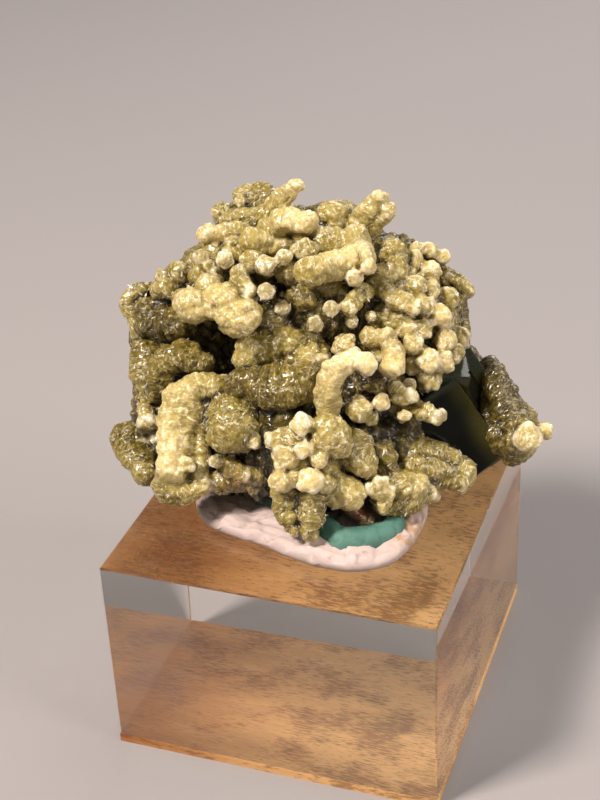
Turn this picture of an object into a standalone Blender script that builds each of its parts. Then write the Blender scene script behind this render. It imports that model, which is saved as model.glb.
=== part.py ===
# Fluorite specimen: dark green fluorite under a crust of mica fingers, held by two putties
# on a clear acrylic block with a thin wood sheet bonded under it.
# The origin is the centre of the wood sheet's underside, +Z is up and -Y is the specimen's front.
import bpy
import bmesh
import math
import numpy as np
from mathutils import Matrix, Vector

MM = 0.001

# Display block, in metres
BLOCK_WIDTH = 0.032
BLOCK_DEPTH = 0.034
BLOCK_TOP = 0.021
WOOD_THICKNESS = 0.0009
EDGE_BEVEL = 0.00025
GAP = 0.0003

# The specimen's underside, pressed into the putty
SPECIMEN_BASE = BLOCK_TOP + 0.0017

# Front view that the specimen is laid out in. Stations are measured in millimetres to the right,
# up and towards the eye, on a plane square to the view through SIGHT_CENTRE.
SIGHT_AZIMUTH = 20.5
SIGHT_ELEVATION = 30.8
SIGHT_ROLL = -2.8
SIGHT_DISTANCE = 160.0
SIGHT_CENTRE = Vector((-4.7, 7.6, 26.5))
# Above LEAN_START the crust comes towards the eye by LEAN for each millimetre of height
LEAN = 0.35
LEAN_START = 6.0

CRUST_VOXEL = 0.00042
CRUST_TRIANGLES = 7200
PUTTY_VOXEL = 0.00045
WHITE_TRIANGLES = 420
TEAL_TRIANGLES = 240
# Clearance around a rounded piece's cutter, more than GAP because its facets are coarse
ROOM = 0.0006
ROOM_TRIANGLES = 4200
STEM_LENGTH = 3.0
BALL_FACET_SWELL = 1.03

# The mass under the fingers: right, up, near, radius
CRUST_CORE = [
    [(-8.0, -3.6, 6.0, 5.6), (-1.0, -4.0, 8.5, 6.0), (4.5, -5.0, 9.0, 6.0), (9.0, -4.6, 9.0, 3.6)],
    [(-2.0, 5.5, 6.0, 5.0), (3.0, 9.5, 6.0, 5.6), (8.6, 8.0, 6.6, 5.0), (12.0, 5.8, 6.6, 3.6)],
    [(-13.0, 6.4, 2.5, 4.0), (-8.5, 12.2, 4.0, 4.6), (-3.5, 14.4, 4.0, 4.8)],
    [(-3.5, 14.4, 4.0, 4.8), (4.0, 15.0, 3.5, 4.4), (10.4, 11.2, 4.5, 4.0)],
    [(-13.5, -3.6, 5.5, 3.4), (-13.0, 2.0, 4.0, 3.6), (-8.4, 4.6, 1.2, 3.8)],
    [(2.0, 1.5, 9.0, 5.2), (6.6, 2.2, 9.0, 4.4)],
    [(14.0, 8.0, 5.0, 2.4), (16.2, 5.0, 2.6, 1.5), (18.2, 2.2, 2.4, 1.5), (20.4, -0.6, 3.6, 1.9)],
]

# Fingers and lumps, each a line of stations from root to tip: right, up, near, radius
TOP_LEFT = [
    [(-4.4, 18.6, 1.5, 1.8), (-3.8, 20.3, 2.0, 1.5)],
    [(-5.2, 18.6, 1.6, 1.3), (-5.5, 20.3, 1.8, 1.1)],
    [(-7.2, 18.3, 3.5, 0.9), (-4.3, 18.5, 4.5, 1.0)],
    [(-6.6, 17.0, 2.0, 1.4), (-7.8, 18.6, 3.0, 1.0)],
    [(-5.6, 16.4, 6.2, 1.35), (-9.1, 16.5, 7.0, 1.2)],
    [(-7.5, 14.0, 10.5, 0.9)],
    [(-10.0, 14.2, 8.5, 0.8)],
    [(-9.2, 13.5, 9.2, 0.6)],
    [(-8.8, 15.2, 7.5, 0.75), (-8.6, 13.2, 9.0, 0.75)],
    [(-6.2, 12.6, 12.0, 0.9), (-5.4, 11.0, 12.5, 0.95)],
    [(-11.2, 12.0, 5.5, 1.2), (-13.7, 12.3, 6.5, 0.8)],
    [(-12.4, 10.4, 5.0, 1.4), (-14.0, 10.8, 6.0, 0.9)],
    [(-15.0, 11.5, 4.5, 0.6), (-16.8, 10.7, 5.0, 0.6), (-17.5, 9.8, 5.5, 0.6)],
    [(-17.5, 9.8, 5.5, 0.6), (-16.8, 8.4, 6.0, 0.75), (-16.3, 6.8, 6.2, 0.8)],
    [(-14.8, 8.2, 5.8, 2.1), (-12.0, 7.9, 6.8, 2.2)],
    [(-10.7, 10.6, 12.0, 1.2), (-10.7, 8.8, 12.5, 1.25)],
    [(-9.3, 11.6, 10.5, 1.15)],
    [(-7.4, 10.1, 13.0, 1.6)],
    [(-9.0, 9.1, 13.2, 1.0)],
    [(-6.3, 8.0, 13.4, 1.85)],
]
TOP_CENTRE = [
    [(-3.8, 18.0, 5.0, 1.3), (-2.0, 20.0, 6.0, 1.05), (-0.4, 21.3, 6.5, 0.8)],
    [(-3.6, 16.4, 7.0, 1.4), (-1.6, 18.0, 8.0, 1.5), (0.3, 17.8, 9.0, 1.2)],
    [(0.4, 16.3, 8.0, 1.1)],
    [(-4.9, 16.0, 9.0, 1.2), (-2.4, 15.4, 8.0, 1.4)],
    [(3.2, 18.3, 5.0, 1.9)],
    [(5.2, 16.6, 5.5, 1.4), (6.8, 18.6, 6.5, 1.2), (7.8, 20.0, 7.0, 0.85)],
    [(6.8, 17.0, 6.0, 1.1), (8.7, 18.8, 7.2, 0.8)],
    [(2.6, 15.4, 8.5, 1.9), (4.8, 15.2, 8.5, 1.9)],
    [(0.9, 12.8, 13.5, 1.55), (3.6, 13.6, 12.6, 1.5), (6.0, 14.3, 11.5, 1.4)],
    [(6.7, 14.5, 13.0, 0.6)],
    [(6.8, 13.4, 13.3, 0.8)],
    [(5.4, 12.3, 13.2, 0.85)],
    [(6.4, 10.8, 12.0, 0.95), (5.1, 9.5, 13.2, 0.95)],
    [(-3.5, 13.4, 12.0, 1.0)],
    [(-1.6, 14.3, 11.5, 0.8)],
    [(-0.3, 15.0, 10.5, 0.7)],
    [(-3.3, 10.8, 13.0, 0.85)],
    [(-1.8, 9.2, 12.5, 0.8)],
    [(3.1, 9.1, 13.3, 0.8)],
    [(1.5, 7.6, 13.3, 0.8)],
    [(5.3, 7.8, 12.5, 0.7)],
    [(7.0, 8.3, 12.5, 0.7)],
]
TOP_RIGHT = [
    [(9.3, 14.6, 8.5, 1.5), (9.3, 13.0, 9.0, 1.5)],
    [(11.7, 15.2, 6.5, 0.85)],
    [(13.0, 15.0, 6.2, 0.85)],
    [(14.3, 14.3, 5.8, 0.75)],
    [(13.1, 13.0, 8.0, 0.85)],
    [(13.0, 11.0, 9.0, 0.9)],
    [(11.0, 12.8, 8.5, 0.65)],
    [(14.2, 12.0, 4.0, 1.4), (15.4, 12.3, 5.0, 0.8), (16.6, 11.0, 4.8, 0.75)],
    [(14.6, 9.0, 4.5, 2.2), (15.9, 10.0, 5.4, 1.2), (16.2, 8.2, 5.6, 1.1), (16.2, 6.6, 6.6, 1.2)],
    [(7.6, 11.6, 10.4, 0.95), (9.5, 10.2, 12.0, 1.0), (11.2, 9.4, 13.0, 0.9)],
    [(8.4, 9.0, 10.5, 1.3)],
    [(14.0, 8.2, 10.5, 1.2)],
    [(10.8, 7.2, 11.5, 0.95)],
    [(12.3, 7.1, 11.5, 0.95)],
    [(7.1, 6.4, 13.6, 1.05), (8.4, 6.2, 14.3, 1.1)],
    [(9.3, 4.9, 14.5, 1.2), (9.3, 3.6, 14.8, 1.25)],
    [(11.3, 5.5, 13.0, 1.0)],
    [(14.4, 5.8, 11.0, 0.95)],
    [(16.0, 6.0, 8.5, 1.15)],
    [(13.0, 3.8, 12.5, 1.15)],
    [(14.3, 3.8, 12.3, 0.85)],
    [(12.9, 2.0, 11.5, 1.2)],
    [(11.4, 3.6, 11.5, 1.2)],
]
CENTRE = [
    [(-3.2, 5.8, 11.0, 1.9), (-0.6, 5.6, 11.0, 1.9)],
    [(-5.2, 5.5, 12.6, 1.1)],
    [(-5.4, 4.1, 12.3, 1.3)],
    [(-5.6, 1.2, 13.3, 1.9), (-2.6, 1.1, 14.0, 2.3), (0.4, 1.8, 14.3, 2.2)],
    [(0.9, 3.7, 14.3, 0.9)],
    [(2.0, 3.9, 14.0, 0.9)],
    [(2.9, -0.8, 16.0, 1.5), (2.9, 1.4, 17.0, 1.45), (3.9, 3.4, 17.5, 1.4), (6.5, 3.8, 17.6, 1.1)],
    [(4.5, 5.4, 13.8, 1.2)],
    [(5.9, -1.0, 15.0, 1.3)],
    [(7.1, -1.9, 14.4, 0.75)],
    [(7.6, 1.2, 13.0, 1.1)],
    [(8.1, -0.3, 15.0, 0.9)],
    [(9.9, 0.3, 14.2, 0.85), (10.9, 0.3, 14.2, 0.85)],
    [(9.6, 1.1, 13.8, 0.8)],
    [(11.0, 1.5, 13.0, 0.6)],
    [(10.4, -1.6, 14.4, 0.7)],
    [(9.0, -0.6, 11.5, 1.0), (11.5, -0.8, 13.0, 0.95), (13.6, -1.5, 14.0, 0.9)],
    [(8.0, -1.8, 11.0, 1.2), (10.4, -2.5, 10.8, 1.1)],
    [(8.4, -5.2, 13.0, 1.4), (8.6, -6.6, 13.0, 1.4)],
    [(6.7, -4.2, 14.0, 0.65)],
]
LOWER_CENTRE = [
    [(0.6, -3.6, 16.6, 1.4), (-1.4, -3.8, 17.2, 1.15), (-2.7, -3.9, 17.3, 0.8)],
    [(0.3, -2.5, 18.3, 1.15)],
    [(3.5, -3.3, 16.6, 1.9)],
    [(0.3, -4.8, 18.4, 0.9)],
    [(1.7, -5.2, 17.3, 1.5)],
    [(-1.2, -5.4, 16.6, 1.5), (-1.5, -7.2, 17.0, 1.4), (-1.7, -8.6, 17.0, 1.0)],
    [(0.8, -8.1, 17.8, 1.2), (1.7, -8.1, 17.8, 1.2)],
    [(5.2, -5.0, 15.3, 1.5), (6.6, -6.2, 15.3, 1.3)],
    [(3.6, -8.9, 15.5, 1.5), (5.0, -9.4, 15.3, 1.4)],
    [(-1.6, -9.4, 15.2, 1.3), (-1.2, -11.4, 15.3, 1.1), (-0.5, -13.0, 15.0, 0.7)],
    [(1.2, -9.8, 15.6, 1.5), (1.2, -11.8, 15.7, 1.35), (1.0, -13.4, 15.6, 0.8)],
    [(5.0, -10.6, 13.2, 1.0), (6.6, -12.0, 13.3, 0.8)],
]
LEFT = [
    [(-15.6, 4.9, 6.5, 1.4), (-15.5, 3.0, 7.0, 1.5), (-15.0, 1.4, 7.0, 1.2)],
    [(-14.2, 0.8, 8.6, 1.1), (-14.0, 2.4, 9.0, 1.3), (-13.4, 4.0, 9.5, 1.4)],
    [(-13.4, 4.0, 9.5, 1.4), (-11.6, 4.5, 9.6, 1.5), (-9.8, 3.7, 9.4, 1.3)],
    [(-14.6, -0.6, 6.8, 1.2), (-15.6, -0.8, 8.0, 0.9), (-15.2, -1.9, 8.6, 1.1)],
    [(-17.1, -3.9, 7.6, 1.8), (-16.3, -5.6, 8.2, 1.8), (-15.5, -7.3, 8.8, 1.3)],
    [(-8.0, 1.2, 12.3, 1.4), (-10.4, 1.4, 12.5, 1.6), (-12.0, 0.0, 12.5, 1.7)],
    [(-12.0, 0.0, 12.5, 1.7), (-12.5, -2.2, 12.6, 1.6), (-12.7, -4.6, 12.6, 1.7), (-12.8, -7.2, 12.5, 1.6)],
    [(-9.9, -0.8, 12.3, 1.0), (-9.9, -4.0, 12.5, 0.95), (-10.3, -7.2, 12.4, 1.0)],
    [(-11.4, -6.4, 13.8, 0.9)],
    [(-13.3, -8.7, 12.4, 1.5), (-11.4, -9.1, 12.4, 1.4), (-10.0, -8.5, 12.3, 1.2)],
    [(-6.8, -1.2, 12.3, 2.4), (-6.8, -3.8, 12.2, 2.3)],
    [(-4.6, -4.3, 14.5, 0.75)],
    [(-8.5, -6.2, 13.5, 0.7)],
    [(-7.0, -6.6, 13.0, 1.0), (-5.8, -7.4, 13.0, 1.0)],
    [(-8.0, -8.2, 11.8, 1.3), (-4.8, -7.8, 12.0, 1.4)],
]
LOWER_RIGHT = [
    [(10.4, -4.6, 10.6, 1.4), (13.4, -5.4, 10.6, 1.6), (15.4, -6.4, 10.2, 1.4)],
    [(16.3, -7.2, 10.6, 1.45)],
    [(9.6, -8.4, 13.0, 1.6), (11.4, -8.6, 12.6, 1.6)],
    [(7.6, -8.4, 14.0, 1.2), (8.2, -10.6, 13.6, 1.1)],
    [(8.8, -10.9, 13.2, 0.9), (10.8, -10.5, 12.8, 1.0), (12.6, -9.4, 12.2, 1.1)],
    [(11.4, -7.0, 11.4, 1.7), (13.8, -7.4, 11.2, 1.6), (15.6, -7.8, 10.9, 1.3)],
    [(16.2, 5.4, 4.0, 1.2), (17.0, 4.2, 3.6, 1.0), (19.2, 1.9, 3.4, 1.2)],
    [(19.2, 1.9, 3.4, 1.2), (21.4, -0.3, 4.0, 1.4), (22.8, -1.8, 5.2, 1.3)],
    [(20.6, 0.4, 4.6, 1.5), (20.8, -1.8, 5.6, 2.2), (21.4, -4.1, 6.9, 2.1)],
    [(23.0, -3.7, 9.0, 1.4)],
    [(24.6, -3.0, 7.0, 0.85)],
    [(21.4, -5.4, 7.6, 1.2)],
]

# Fingers out of sight from the front, in millimetres from the origin: x, y, z, radius
BACK = [
    [(-10.0, 4.5, 41.0, 2.6), (-9.0, 9.0, 41.5, 1.8), (-8.0, 11.6, 40.0, 1.3)],
    [(-3.5, 10.0, 43.0, 2.2), (-3.0, 12.8, 41.6, 1.8), (-2.6, 14.2, 39.4, 1.4), (-2.8, 14.6, 37.2, 1.1)],
    [(2.0, 11.5, 41.8, 2.0), (3.0, 14.0, 40.2, 1.6), (3.8, 15.2, 38.2, 1.2)],
    [(5.4, 9.5, 40.0, 2.0), (6.4, 12.0, 38.4, 1.6), (7.0, 13.4, 36.4, 1.3)],
    [(-14.0, 5.0, 35.0, 2.8), (-14.6, 8.4, 33.0, 2.0), (-13.6, 10.8, 30.6, 1.5), (-12.4, 12.0, 28.4, 1.1)],
    [(-12.0, 3.0, 28.5, 3.0), (-12.0, 6.5, 26.8, 2.2), (-10.6, 9.2, 25.6, 1.5)],
    [(-6.0, 11.5, 40.5, 1.5), (-5.4, 13.2, 39.0, 1.1)],
    [(0.4, 13.0, 40.6, 1.5), (0.7, 14.8, 39.2, 1.1)],
    [(-15.6, 6.4, 30.6, 1.6), (-16.4, 8.4, 29.2, 1.1)],
]

# Knobs spread over the core's hidden side, in millimetres: the least distance between two of them,
# the range of radius, and how far a knob's direction points away from the eye
KNOB_SEED = 11
KNOB_TRIES = 2600
KNOB_SPACING = 2.1
KNOB_RADII = (0.9, 1.5)
KNOB_FACING = -0.40

# Fluorite crystals seen at the front: face centre to the right, up and near; the size along, across
# and into the specimen; the turn in the view's plane and the tip towards it, in degrees
FRONT_CRYSTALS = [
    ((15.7, -3.8, 8.0), (9.6, 6.2, 9.0), -54.0, 12.0),
    ((16.4, -1.8, 5.8), (11.0, 8.8, 9.0), -54.0, 8.0),
]
# Crystals of the body and back: centre and edges in millimetres, turns about X, Y and Z in degrees
BACK_CRYSTALS = [
    ((5.4, 9.4, 28.6), (10.5, 9.0, 11.0), (12.0, 9.0, 24.0)),
    ((-4.8, 8.6, 29.0), (9.6, 9.6, 10.0), (-8.0, 14.0, -18.0)),
    ((1.0, 10.4, 35.2), (8.4, 7.6, 8.0), (20.0, -14.0, 36.0)),
]
CRYSTAL_BEVEL = 0.55
GROOVE = ((18.9, -1.0, 6.4), (9.0, 1.1, 2.6), -57.0, 10.0)

# Putty on the block's top, in millimetres
WHITE_FRONT = [(-9.9, -5.3), (-8.2, -7.6), (-5.0, -8.4), (-2.2, -8.5), (0.8, -9.6), (3.8, -10.2)]
WHITE_RIGHT = [(6.6, -10.3), (9.0, -8.9), (10.1, -6.0), (10.0, -2.0), (8.6, 2.4)]
WHITE_BACK = [(4.6, 5.6), (-1.0, 6.4), (-6.4, 4.8), (-9.8, 0.6)]
WHITE_RIM_RADIUS = 1.15
WHITE_RIM_HEIGHT = 0.95
WHITE_RINGS = (1.0, 0.8, 0.6, 0.4, 0.2)
TEAL_LEFT = [(-5.6, -4.4, 22.6, 0.9), (-3.6, -4.6, 22.6, 1.2), (0.0, -5.6, 22.5, 1.3), (3.4, -8.0, 22.6, 1.3)]
TEAL_RIGHT = [(4.6, -9.2, 22.7, 1.25), (6.8, -8.4, 22.7, 1.3), (9.0, -6.6, 22.7, 1.2), (8.4, -4.6, 22.6, 1.2)]


def clear_scene():
    for item in list(bpy.data.objects):
        bpy.data.objects.remove(item, do_unlink=True)


def new_collection(name):
    collection = bpy.data.collections.new(name)
    bpy.context.scene.collection.children.link(collection)
    return collection


def new_material(name, colour, roughness, metallic=0.0):
    material = bpy.data.materials.new(name)
    material.use_nodes = True
    shader = material.node_tree.nodes["Principled BSDF"]
    shader.inputs["Base Color"].default_value = (*colour, 1.0)
    shader.inputs["Roughness"].default_value = roughness
    shader.inputs["Metallic"].default_value = metallic
    material.diffuse_color = (*colour, 1.0)
    return material


def new_object(name, mesh, collection, material=None):
    item = bpy.data.objects.new(name, mesh)
    collection.objects.link(item)
    if material:
        mesh.materials.clear()
        mesh.materials.append(material)
    return item


def sight_frame():
    # Columns are the view's right, up and towards-the-eye directions
    azimuth, elevation, roll = (math.radians(v) for v in (SIGHT_AZIMUTH, SIGHT_ELEVATION, SIGHT_ROLL))
    level = Vector((math.cos(azimuth), math.sin(azimuth), 0.0))
    ahead = Vector((-math.sin(azimuth), math.cos(azimuth), 0.0))
    near = Vector((0.0, 0.0, math.sin(elevation))) - ahead * math.cos(elevation)
    rise = near.cross(level)
    right = level * math.cos(roll) + rise * math.sin(roll)
    up = rise * math.cos(roll) - level * math.sin(roll)
    return Matrix((right, up, near)).transposed()


SIGHT = sight_frame()


def leaning(up, near):
    return near + LEAN * max(0.0, up - LEAN_START)


def sighted(right, up, near):
    # A point nearer the eye is drawn in towards the line of sight, so it keeps its place in the view
    shrink = 1.0 - near / SIGHT_DISTANCE
    return SIGHT_CENTRE + SIGHT @ Vector((right * shrink, up * shrink, near))


def sighted_balls(stations):
    placed = []
    for right, up, near, radius in stations:
        depth = leaning(up, near)
        placed.append((sighted(right, up, depth), radius * (1.0 - depth / SIGHT_DISTANCE)))
    if len(placed) == 1:
        tip, radius = placed[0]
        placed.insert(0, (tip - SIGHT.col[2] * STEM_LENGTH, radius * 0.85))
    return placed


def placed_balls(stations):
    return [(Vector(station[:3]), station[3]) for station in stations]


def spread(placed):
    # Balls close enough together along a finger that they blend into one tapering rod
    balls = [placed[0]]
    for (start, start_radius), (end, end_radius) in zip(placed, placed[1:]):
        steps = max(1, math.ceil((end - start).length / (0.45 * min(start_radius, end_radius))))
        for step in range(1, steps + 1):
            share = step / steps
            balls.append((start.lerp(end, share), start_radius + (end_radius - start_radius) * share))
    return balls


def unit_ball():
    # A round cage of small triangles about the origin, as arrays of points and faces
    work = bmesh.new()
    bmesh.ops.create_icosphere(work, subdivisions=2, radius=1.0)
    points = np.array([vertex.co[:] for vertex in work.verts])
    faces = np.array([[vertex.index for vertex in face.verts] for face in work.faces])
    work.free()
    return points, faces


def fused(name, balls, growth, voxel, triangles, collection, material=None):
    # Balls in millimetres joined into one closed skin; growth in metres makes a cutter with clearance
    ball, faces = unit_ball()
    centres = np.array([centre for centre, radius in balls]) * MM
    radii = np.array([radius for centre, radius in balls]) * MM * BALL_FACET_SWELL + growth
    points = (centres[:, None, :] + radii[:, None, None] * ball[None]).reshape(-1, 3)
    triangles_of_all = (faces[None] + len(ball) * np.arange(len(balls))[:, None, None]).reshape(-1, 3)
    mesh = bpy.data.meshes.new(name + "_balls")
    mesh.from_pydata(points.tolist(), [], triangles_of_all.tolist())
    rough = new_object(name + "_balls", mesh, collection)
    remesh = rough.modifiers.new("Fuse", "REMESH")
    remesh.mode = "VOXEL"
    remesh.voxel_size = voxel
    skin = evaluated_mesh(rough, name)
    bpy.data.objects.remove(rough)
    keep_largest(skin)
    item = new_object(name, skin, collection, material)
    decimate = item.modifiers.new("Facets", "DECIMATE")
    decimate.ratio = min(1.0, triangles / sum(len(face.vertices) - 2 for face in skin.polygons))
    decimate.use_collapse_triangulate = True
    return item


def evaluated_mesh(item, name):
    depsgraph = bpy.context.evaluated_depsgraph_get()
    mesh = bpy.data.meshes.new_from_object(item.evaluated_get(depsgraph))
    mesh.name = name
    return mesh


def keep_largest(mesh):
    # Only the outermost body stays: pockets sealed inside and specks cut loose are dropped
    work = bmesh.new()
    work.from_mesh(mesh)
    waiting = set(work.verts)
    bodies = []
    while waiting:
        seed = waiting.pop()
        body = {seed}
        edge_of_search = [seed]
        while edge_of_search:
            vertex = edge_of_search.pop()
            for edge in vertex.link_edges:
                other = edge.other_vert(vertex)
                if other not in body:
                    body.add(other)
                    edge_of_search.append(other)
        waiting -= body
        bodies.append(body)
    largest = max(bodies, key=len)
    for body in bodies:
        if body is not largest:
            bmesh.ops.delete(work, geom=list(body), context="VERTS")
    work.to_mesh(mesh)
    work.free()


def as_cutter(item):
    item.hide_render = True
    item.display_type = "WIRE"
    return item


def box(name, size, centre, collection, material=None, bevel=0.0, turn=None):
    work = bmesh.new()
    bmesh.ops.create_cube(work, size=1.0)
    bmesh.ops.scale(work, vec=size, verts=work.verts)
    mesh = bpy.data.meshes.new(name)
    work.to_mesh(mesh)
    work.free()
    item = new_object(name, mesh, collection, material)
    if turn:
        item.rotation_euler = turn.to_euler()
    item.location = centre
    if bevel:
        rounding = item.modifiers.new("Edges", "BEVEL")
        rounding.width = bevel
        rounding.segments = 1
    return item


def turned(about_x, about_y, about_z):
    # Turns in degrees about X first, then Y, then Z
    matrix = Matrix.Rotation(math.radians(about_z), 3, "Z") @ Matrix.Rotation(math.radians(about_y), 3, "Y")
    return matrix @ Matrix.Rotation(math.radians(about_x), 3, "X")


def crystal_places():
    # Name, centre, edges and turn of each fluorite crystal, in metres
    places = []
    for number, (face, size, turn, tip) in enumerate(FRONT_CRYSTALS, 1):
        matrix = SIGHT @ turned(0.0, tip, turn)
        centre = sighted(*face) - matrix.col[2] * size[2] / 2
        places.append((f"front_crystal_{number}", centre * MM, Vector(size) * MM, matrix))
    for number, (centre, size, turns) in enumerate(BACK_CRYSTALS, 1):
        places.append((f"back_crystal_{number}", Vector(centre) * MM, Vector(size) * MM, turned(*turns)))
    return places


def combine(item, others, operation):
    for other in others:
        boolean = item.modifiers.new(operation.title(), "BOOLEAN")
        boolean.operation = operation
        boolean.object = other
    return item


def fluorite(name, growth, parts, cutters, material=None):
    pieces = []
    for label, centre, size, matrix in crystal_places():
        swollen = size + Vector((1, 1, 1)) * growth * 2
        chamfer = CRYSTAL_BEVEL * MM
        pieces.append(box(f"{name}_{label}", swollen, centre, cutters, bevel=chamfer, turn=matrix))
    combine(pieces[0], pieces[1:], "UNION")
    mesh = evaluated_mesh(pieces[0], name)
    mesh.transform(pieces[0].matrix_world)
    item = new_object(name, mesh, parts, material)
    for piece in pieces:
        bpy.data.objects.remove(piece)
    return item


def groove(cutters):
    face, size, turn, tip = GROOVE
    matrix = SIGHT @ turned(0.0, tip, turn)
    return as_cutter(box("crystal_groove", Vector(size) * MM, sighted(*face) * MM, cutters, turn=matrix))


def finish(item):
    # Settles an organic piece: its cuts are made and only its main body is kept
    mesh = evaluated_mesh(item, item.name)
    keep_largest(mesh)
    item.modifiers.clear()
    item.data = mesh
    return item


def hidden_knobs(core):
    # A knob sits where a random line from a core ball leaves the core, if no other knob is too close
    chance = np.random.default_rng(KNOB_SEED)
    centres = np.array([centre for centre, radius in core])
    radii = np.array([radius for centre, radius in core])
    knobs = []
    for attempt in range(KNOB_TRIES):
        start, reach = core[chance.integers(len(core))]
        aim = Vector(chance.normal(size=3)).normalized()
        radius = chance.uniform(*KNOB_RADII)
        spot = start + aim * reach
        covered = (np.linalg.norm(centres - np.array(spot), axis=1) < radii * 0.98).any()
        crowded = any((spot - other).length < KNOB_SPACING for other, size in knobs)
        if aim.dot(SIGHT.col[2]) < KNOB_FACING and not covered and not crowded:
            knobs.append((spot, radius))
    return knobs


def crust_balls():
    core = []
    for stations in CRUST_CORE:
        core += spread(sighted_balls(stations))
    balls = core + hidden_knobs(core)
    for group in (TOP_LEFT, TOP_CENTRE, TOP_RIGHT, CENTRE, LOWER_CENTRE, LEFT, LOWER_RIGHT):
        for stations in group:
            balls += spread(sighted_balls(stations))
    for stations in BACK:
        balls += spread(placed_balls(stations))
    return balls


def white_balls():
    outline = [Vector(point) for point in WHITE_FRONT + WHITE_RIGHT + WHITE_BACK]
    middle = sum(outline, Vector((0.0, 0.0))) / len(outline)
    height = BLOCK_TOP / MM + WHITE_RIM_HEIGHT
    balls = []
    for ring in WHITE_RINGS:
        loop = []
        for point in outline:
            place = middle.lerp(point, ring)
            loop.append((Vector((place.x, place.y, height)), WHITE_RIM_RADIUS))
        balls += spread(loop + loop[:1])
    return balls


def display_block(parts):
    clear = new_material("clear_acrylic", (0.90, 0.93, 0.92), 0.05)
    wood = new_material("wood_sheet", (0.42, 0.24, 0.10), 0.45)
    block_bottom = WOOD_THICKNESS + GAP
    block_height = BLOCK_TOP - block_bottom
    block_size = Vector((BLOCK_WIDTH, BLOCK_DEPTH, block_height))
    block_centre = Vector((0.0, 0.0, block_bottom + block_height / 2))
    box("acrylic_block", block_size, block_centre, parts, clear, EDGE_BEVEL)
    wood_size = Vector((BLOCK_WIDTH, BLOCK_DEPTH, WOOD_THICKNESS))
    box("wood_sheet", wood_size, Vector((0.0, 0.0, WOOD_THICKNESS / 2)), parts, wood)


def specimen(parts, cutters):
    mica = new_material("green_mica", (0.50, 0.44, 0.20), 0.40)
    green = new_material("green_fluorite", (0.03, 0.05, 0.035), 0.10)
    white = new_material("white_putty", (0.78, 0.70, 0.68), 0.60)
    teal = new_material("teal_putty", (0.10, 0.38, 0.32), 0.60)

    below = SPECIMEN_BASE / 2
    ground_size = Vector((3 * BLOCK_WIDTH, 3 * BLOCK_DEPTH, SPECIMEN_BASE))
    ground = as_cutter(box("ground", ground_size, Vector((0.0, 0.0, below)), cutters))
    floor_size = ground_size.copy()
    floor_size.z = BLOCK_TOP + GAP
    block_face = as_cutter(box("block_face", floor_size, Vector((0.0, 0.0, floor_size.z / 2)), cutters))

    crystals = fluorite("fluorite_crystals", 0.0, parts, cutters, green)
    combine(crystals, [groove(cutters), ground], "DIFFERENCE")
    finish(crystals)
    crystal_room = as_cutter(fluorite("crystal_room", GAP, cutters, cutters))

    crust = fused("mica_crust", crust_balls(), 0.0, CRUST_VOXEL, CRUST_TRIANGLES, parts, mica)
    finish(combine(crust, [crystal_room, ground], "DIFFERENCE"))
    crust_room = as_cutter(fused("crust_room", crust_balls(), ROOM, CRUST_VOXEL, ROOM_TRIANGLES, cutters))

    teal_balls = spread(placed_balls(TEAL_LEFT + TEAL_RIGHT))
    teal_pad = fused("teal_putty", teal_balls, 0.0, PUTTY_VOXEL, TEAL_TRIANGLES, parts, teal)
    finish(combine(teal_pad, [crust_room, crystal_room, block_face], "DIFFERENCE"))
    teal_room = as_cutter(fused("teal_room", teal_balls, ROOM, PUTTY_VOXEL, TEAL_TRIANGLES, cutters))

    white_pad = fused("white_putty", white_balls(), 0.0, PUTTY_VOXEL, WHITE_TRIANGLES, parts, white)
    finish(combine(white_pad, [teal_room, crust_room, crystal_room, block_face], "DIFFERENCE"))


def main():
    clear_scene()
    parts = new_collection("fluorite_specimen")
    cutters = new_collection("cutters")
    display_block(parts)
    specimen(parts, cutters)


main()
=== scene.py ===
# Fluorite specimen: dark green fluorite under a crust of mica fingers, held by putty on a clear block
import math
import bpy
import numpy as np
from mathutils import Matrix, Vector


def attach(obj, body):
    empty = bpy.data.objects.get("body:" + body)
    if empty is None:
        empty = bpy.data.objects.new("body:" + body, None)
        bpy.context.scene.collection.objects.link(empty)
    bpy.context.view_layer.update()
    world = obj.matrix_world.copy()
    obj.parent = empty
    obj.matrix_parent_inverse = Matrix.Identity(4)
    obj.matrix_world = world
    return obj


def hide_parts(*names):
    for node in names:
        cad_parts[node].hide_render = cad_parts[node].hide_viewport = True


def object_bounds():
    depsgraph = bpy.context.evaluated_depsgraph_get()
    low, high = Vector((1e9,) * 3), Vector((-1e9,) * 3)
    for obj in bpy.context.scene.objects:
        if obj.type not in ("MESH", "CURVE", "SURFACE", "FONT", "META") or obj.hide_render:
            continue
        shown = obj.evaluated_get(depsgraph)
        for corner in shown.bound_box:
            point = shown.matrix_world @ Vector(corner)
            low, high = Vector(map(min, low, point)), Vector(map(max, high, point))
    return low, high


mm = 0.001    # shapes are worked out in millimetres and stored in metres
keptIn = 0.02    # pieces stay this far inside the CAD box
foot = 22.72    # height of the specimen's foot, in the putty

print("Frame: loading the CAD part")
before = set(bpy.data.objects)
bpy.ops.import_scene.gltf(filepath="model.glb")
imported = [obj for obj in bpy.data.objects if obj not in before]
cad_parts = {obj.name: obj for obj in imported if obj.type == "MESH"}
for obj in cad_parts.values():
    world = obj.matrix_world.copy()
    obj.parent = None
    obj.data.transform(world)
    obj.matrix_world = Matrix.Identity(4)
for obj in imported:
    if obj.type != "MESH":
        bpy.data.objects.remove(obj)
cadLow, cadHigh = [np.array(corner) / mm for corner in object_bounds()]


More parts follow.
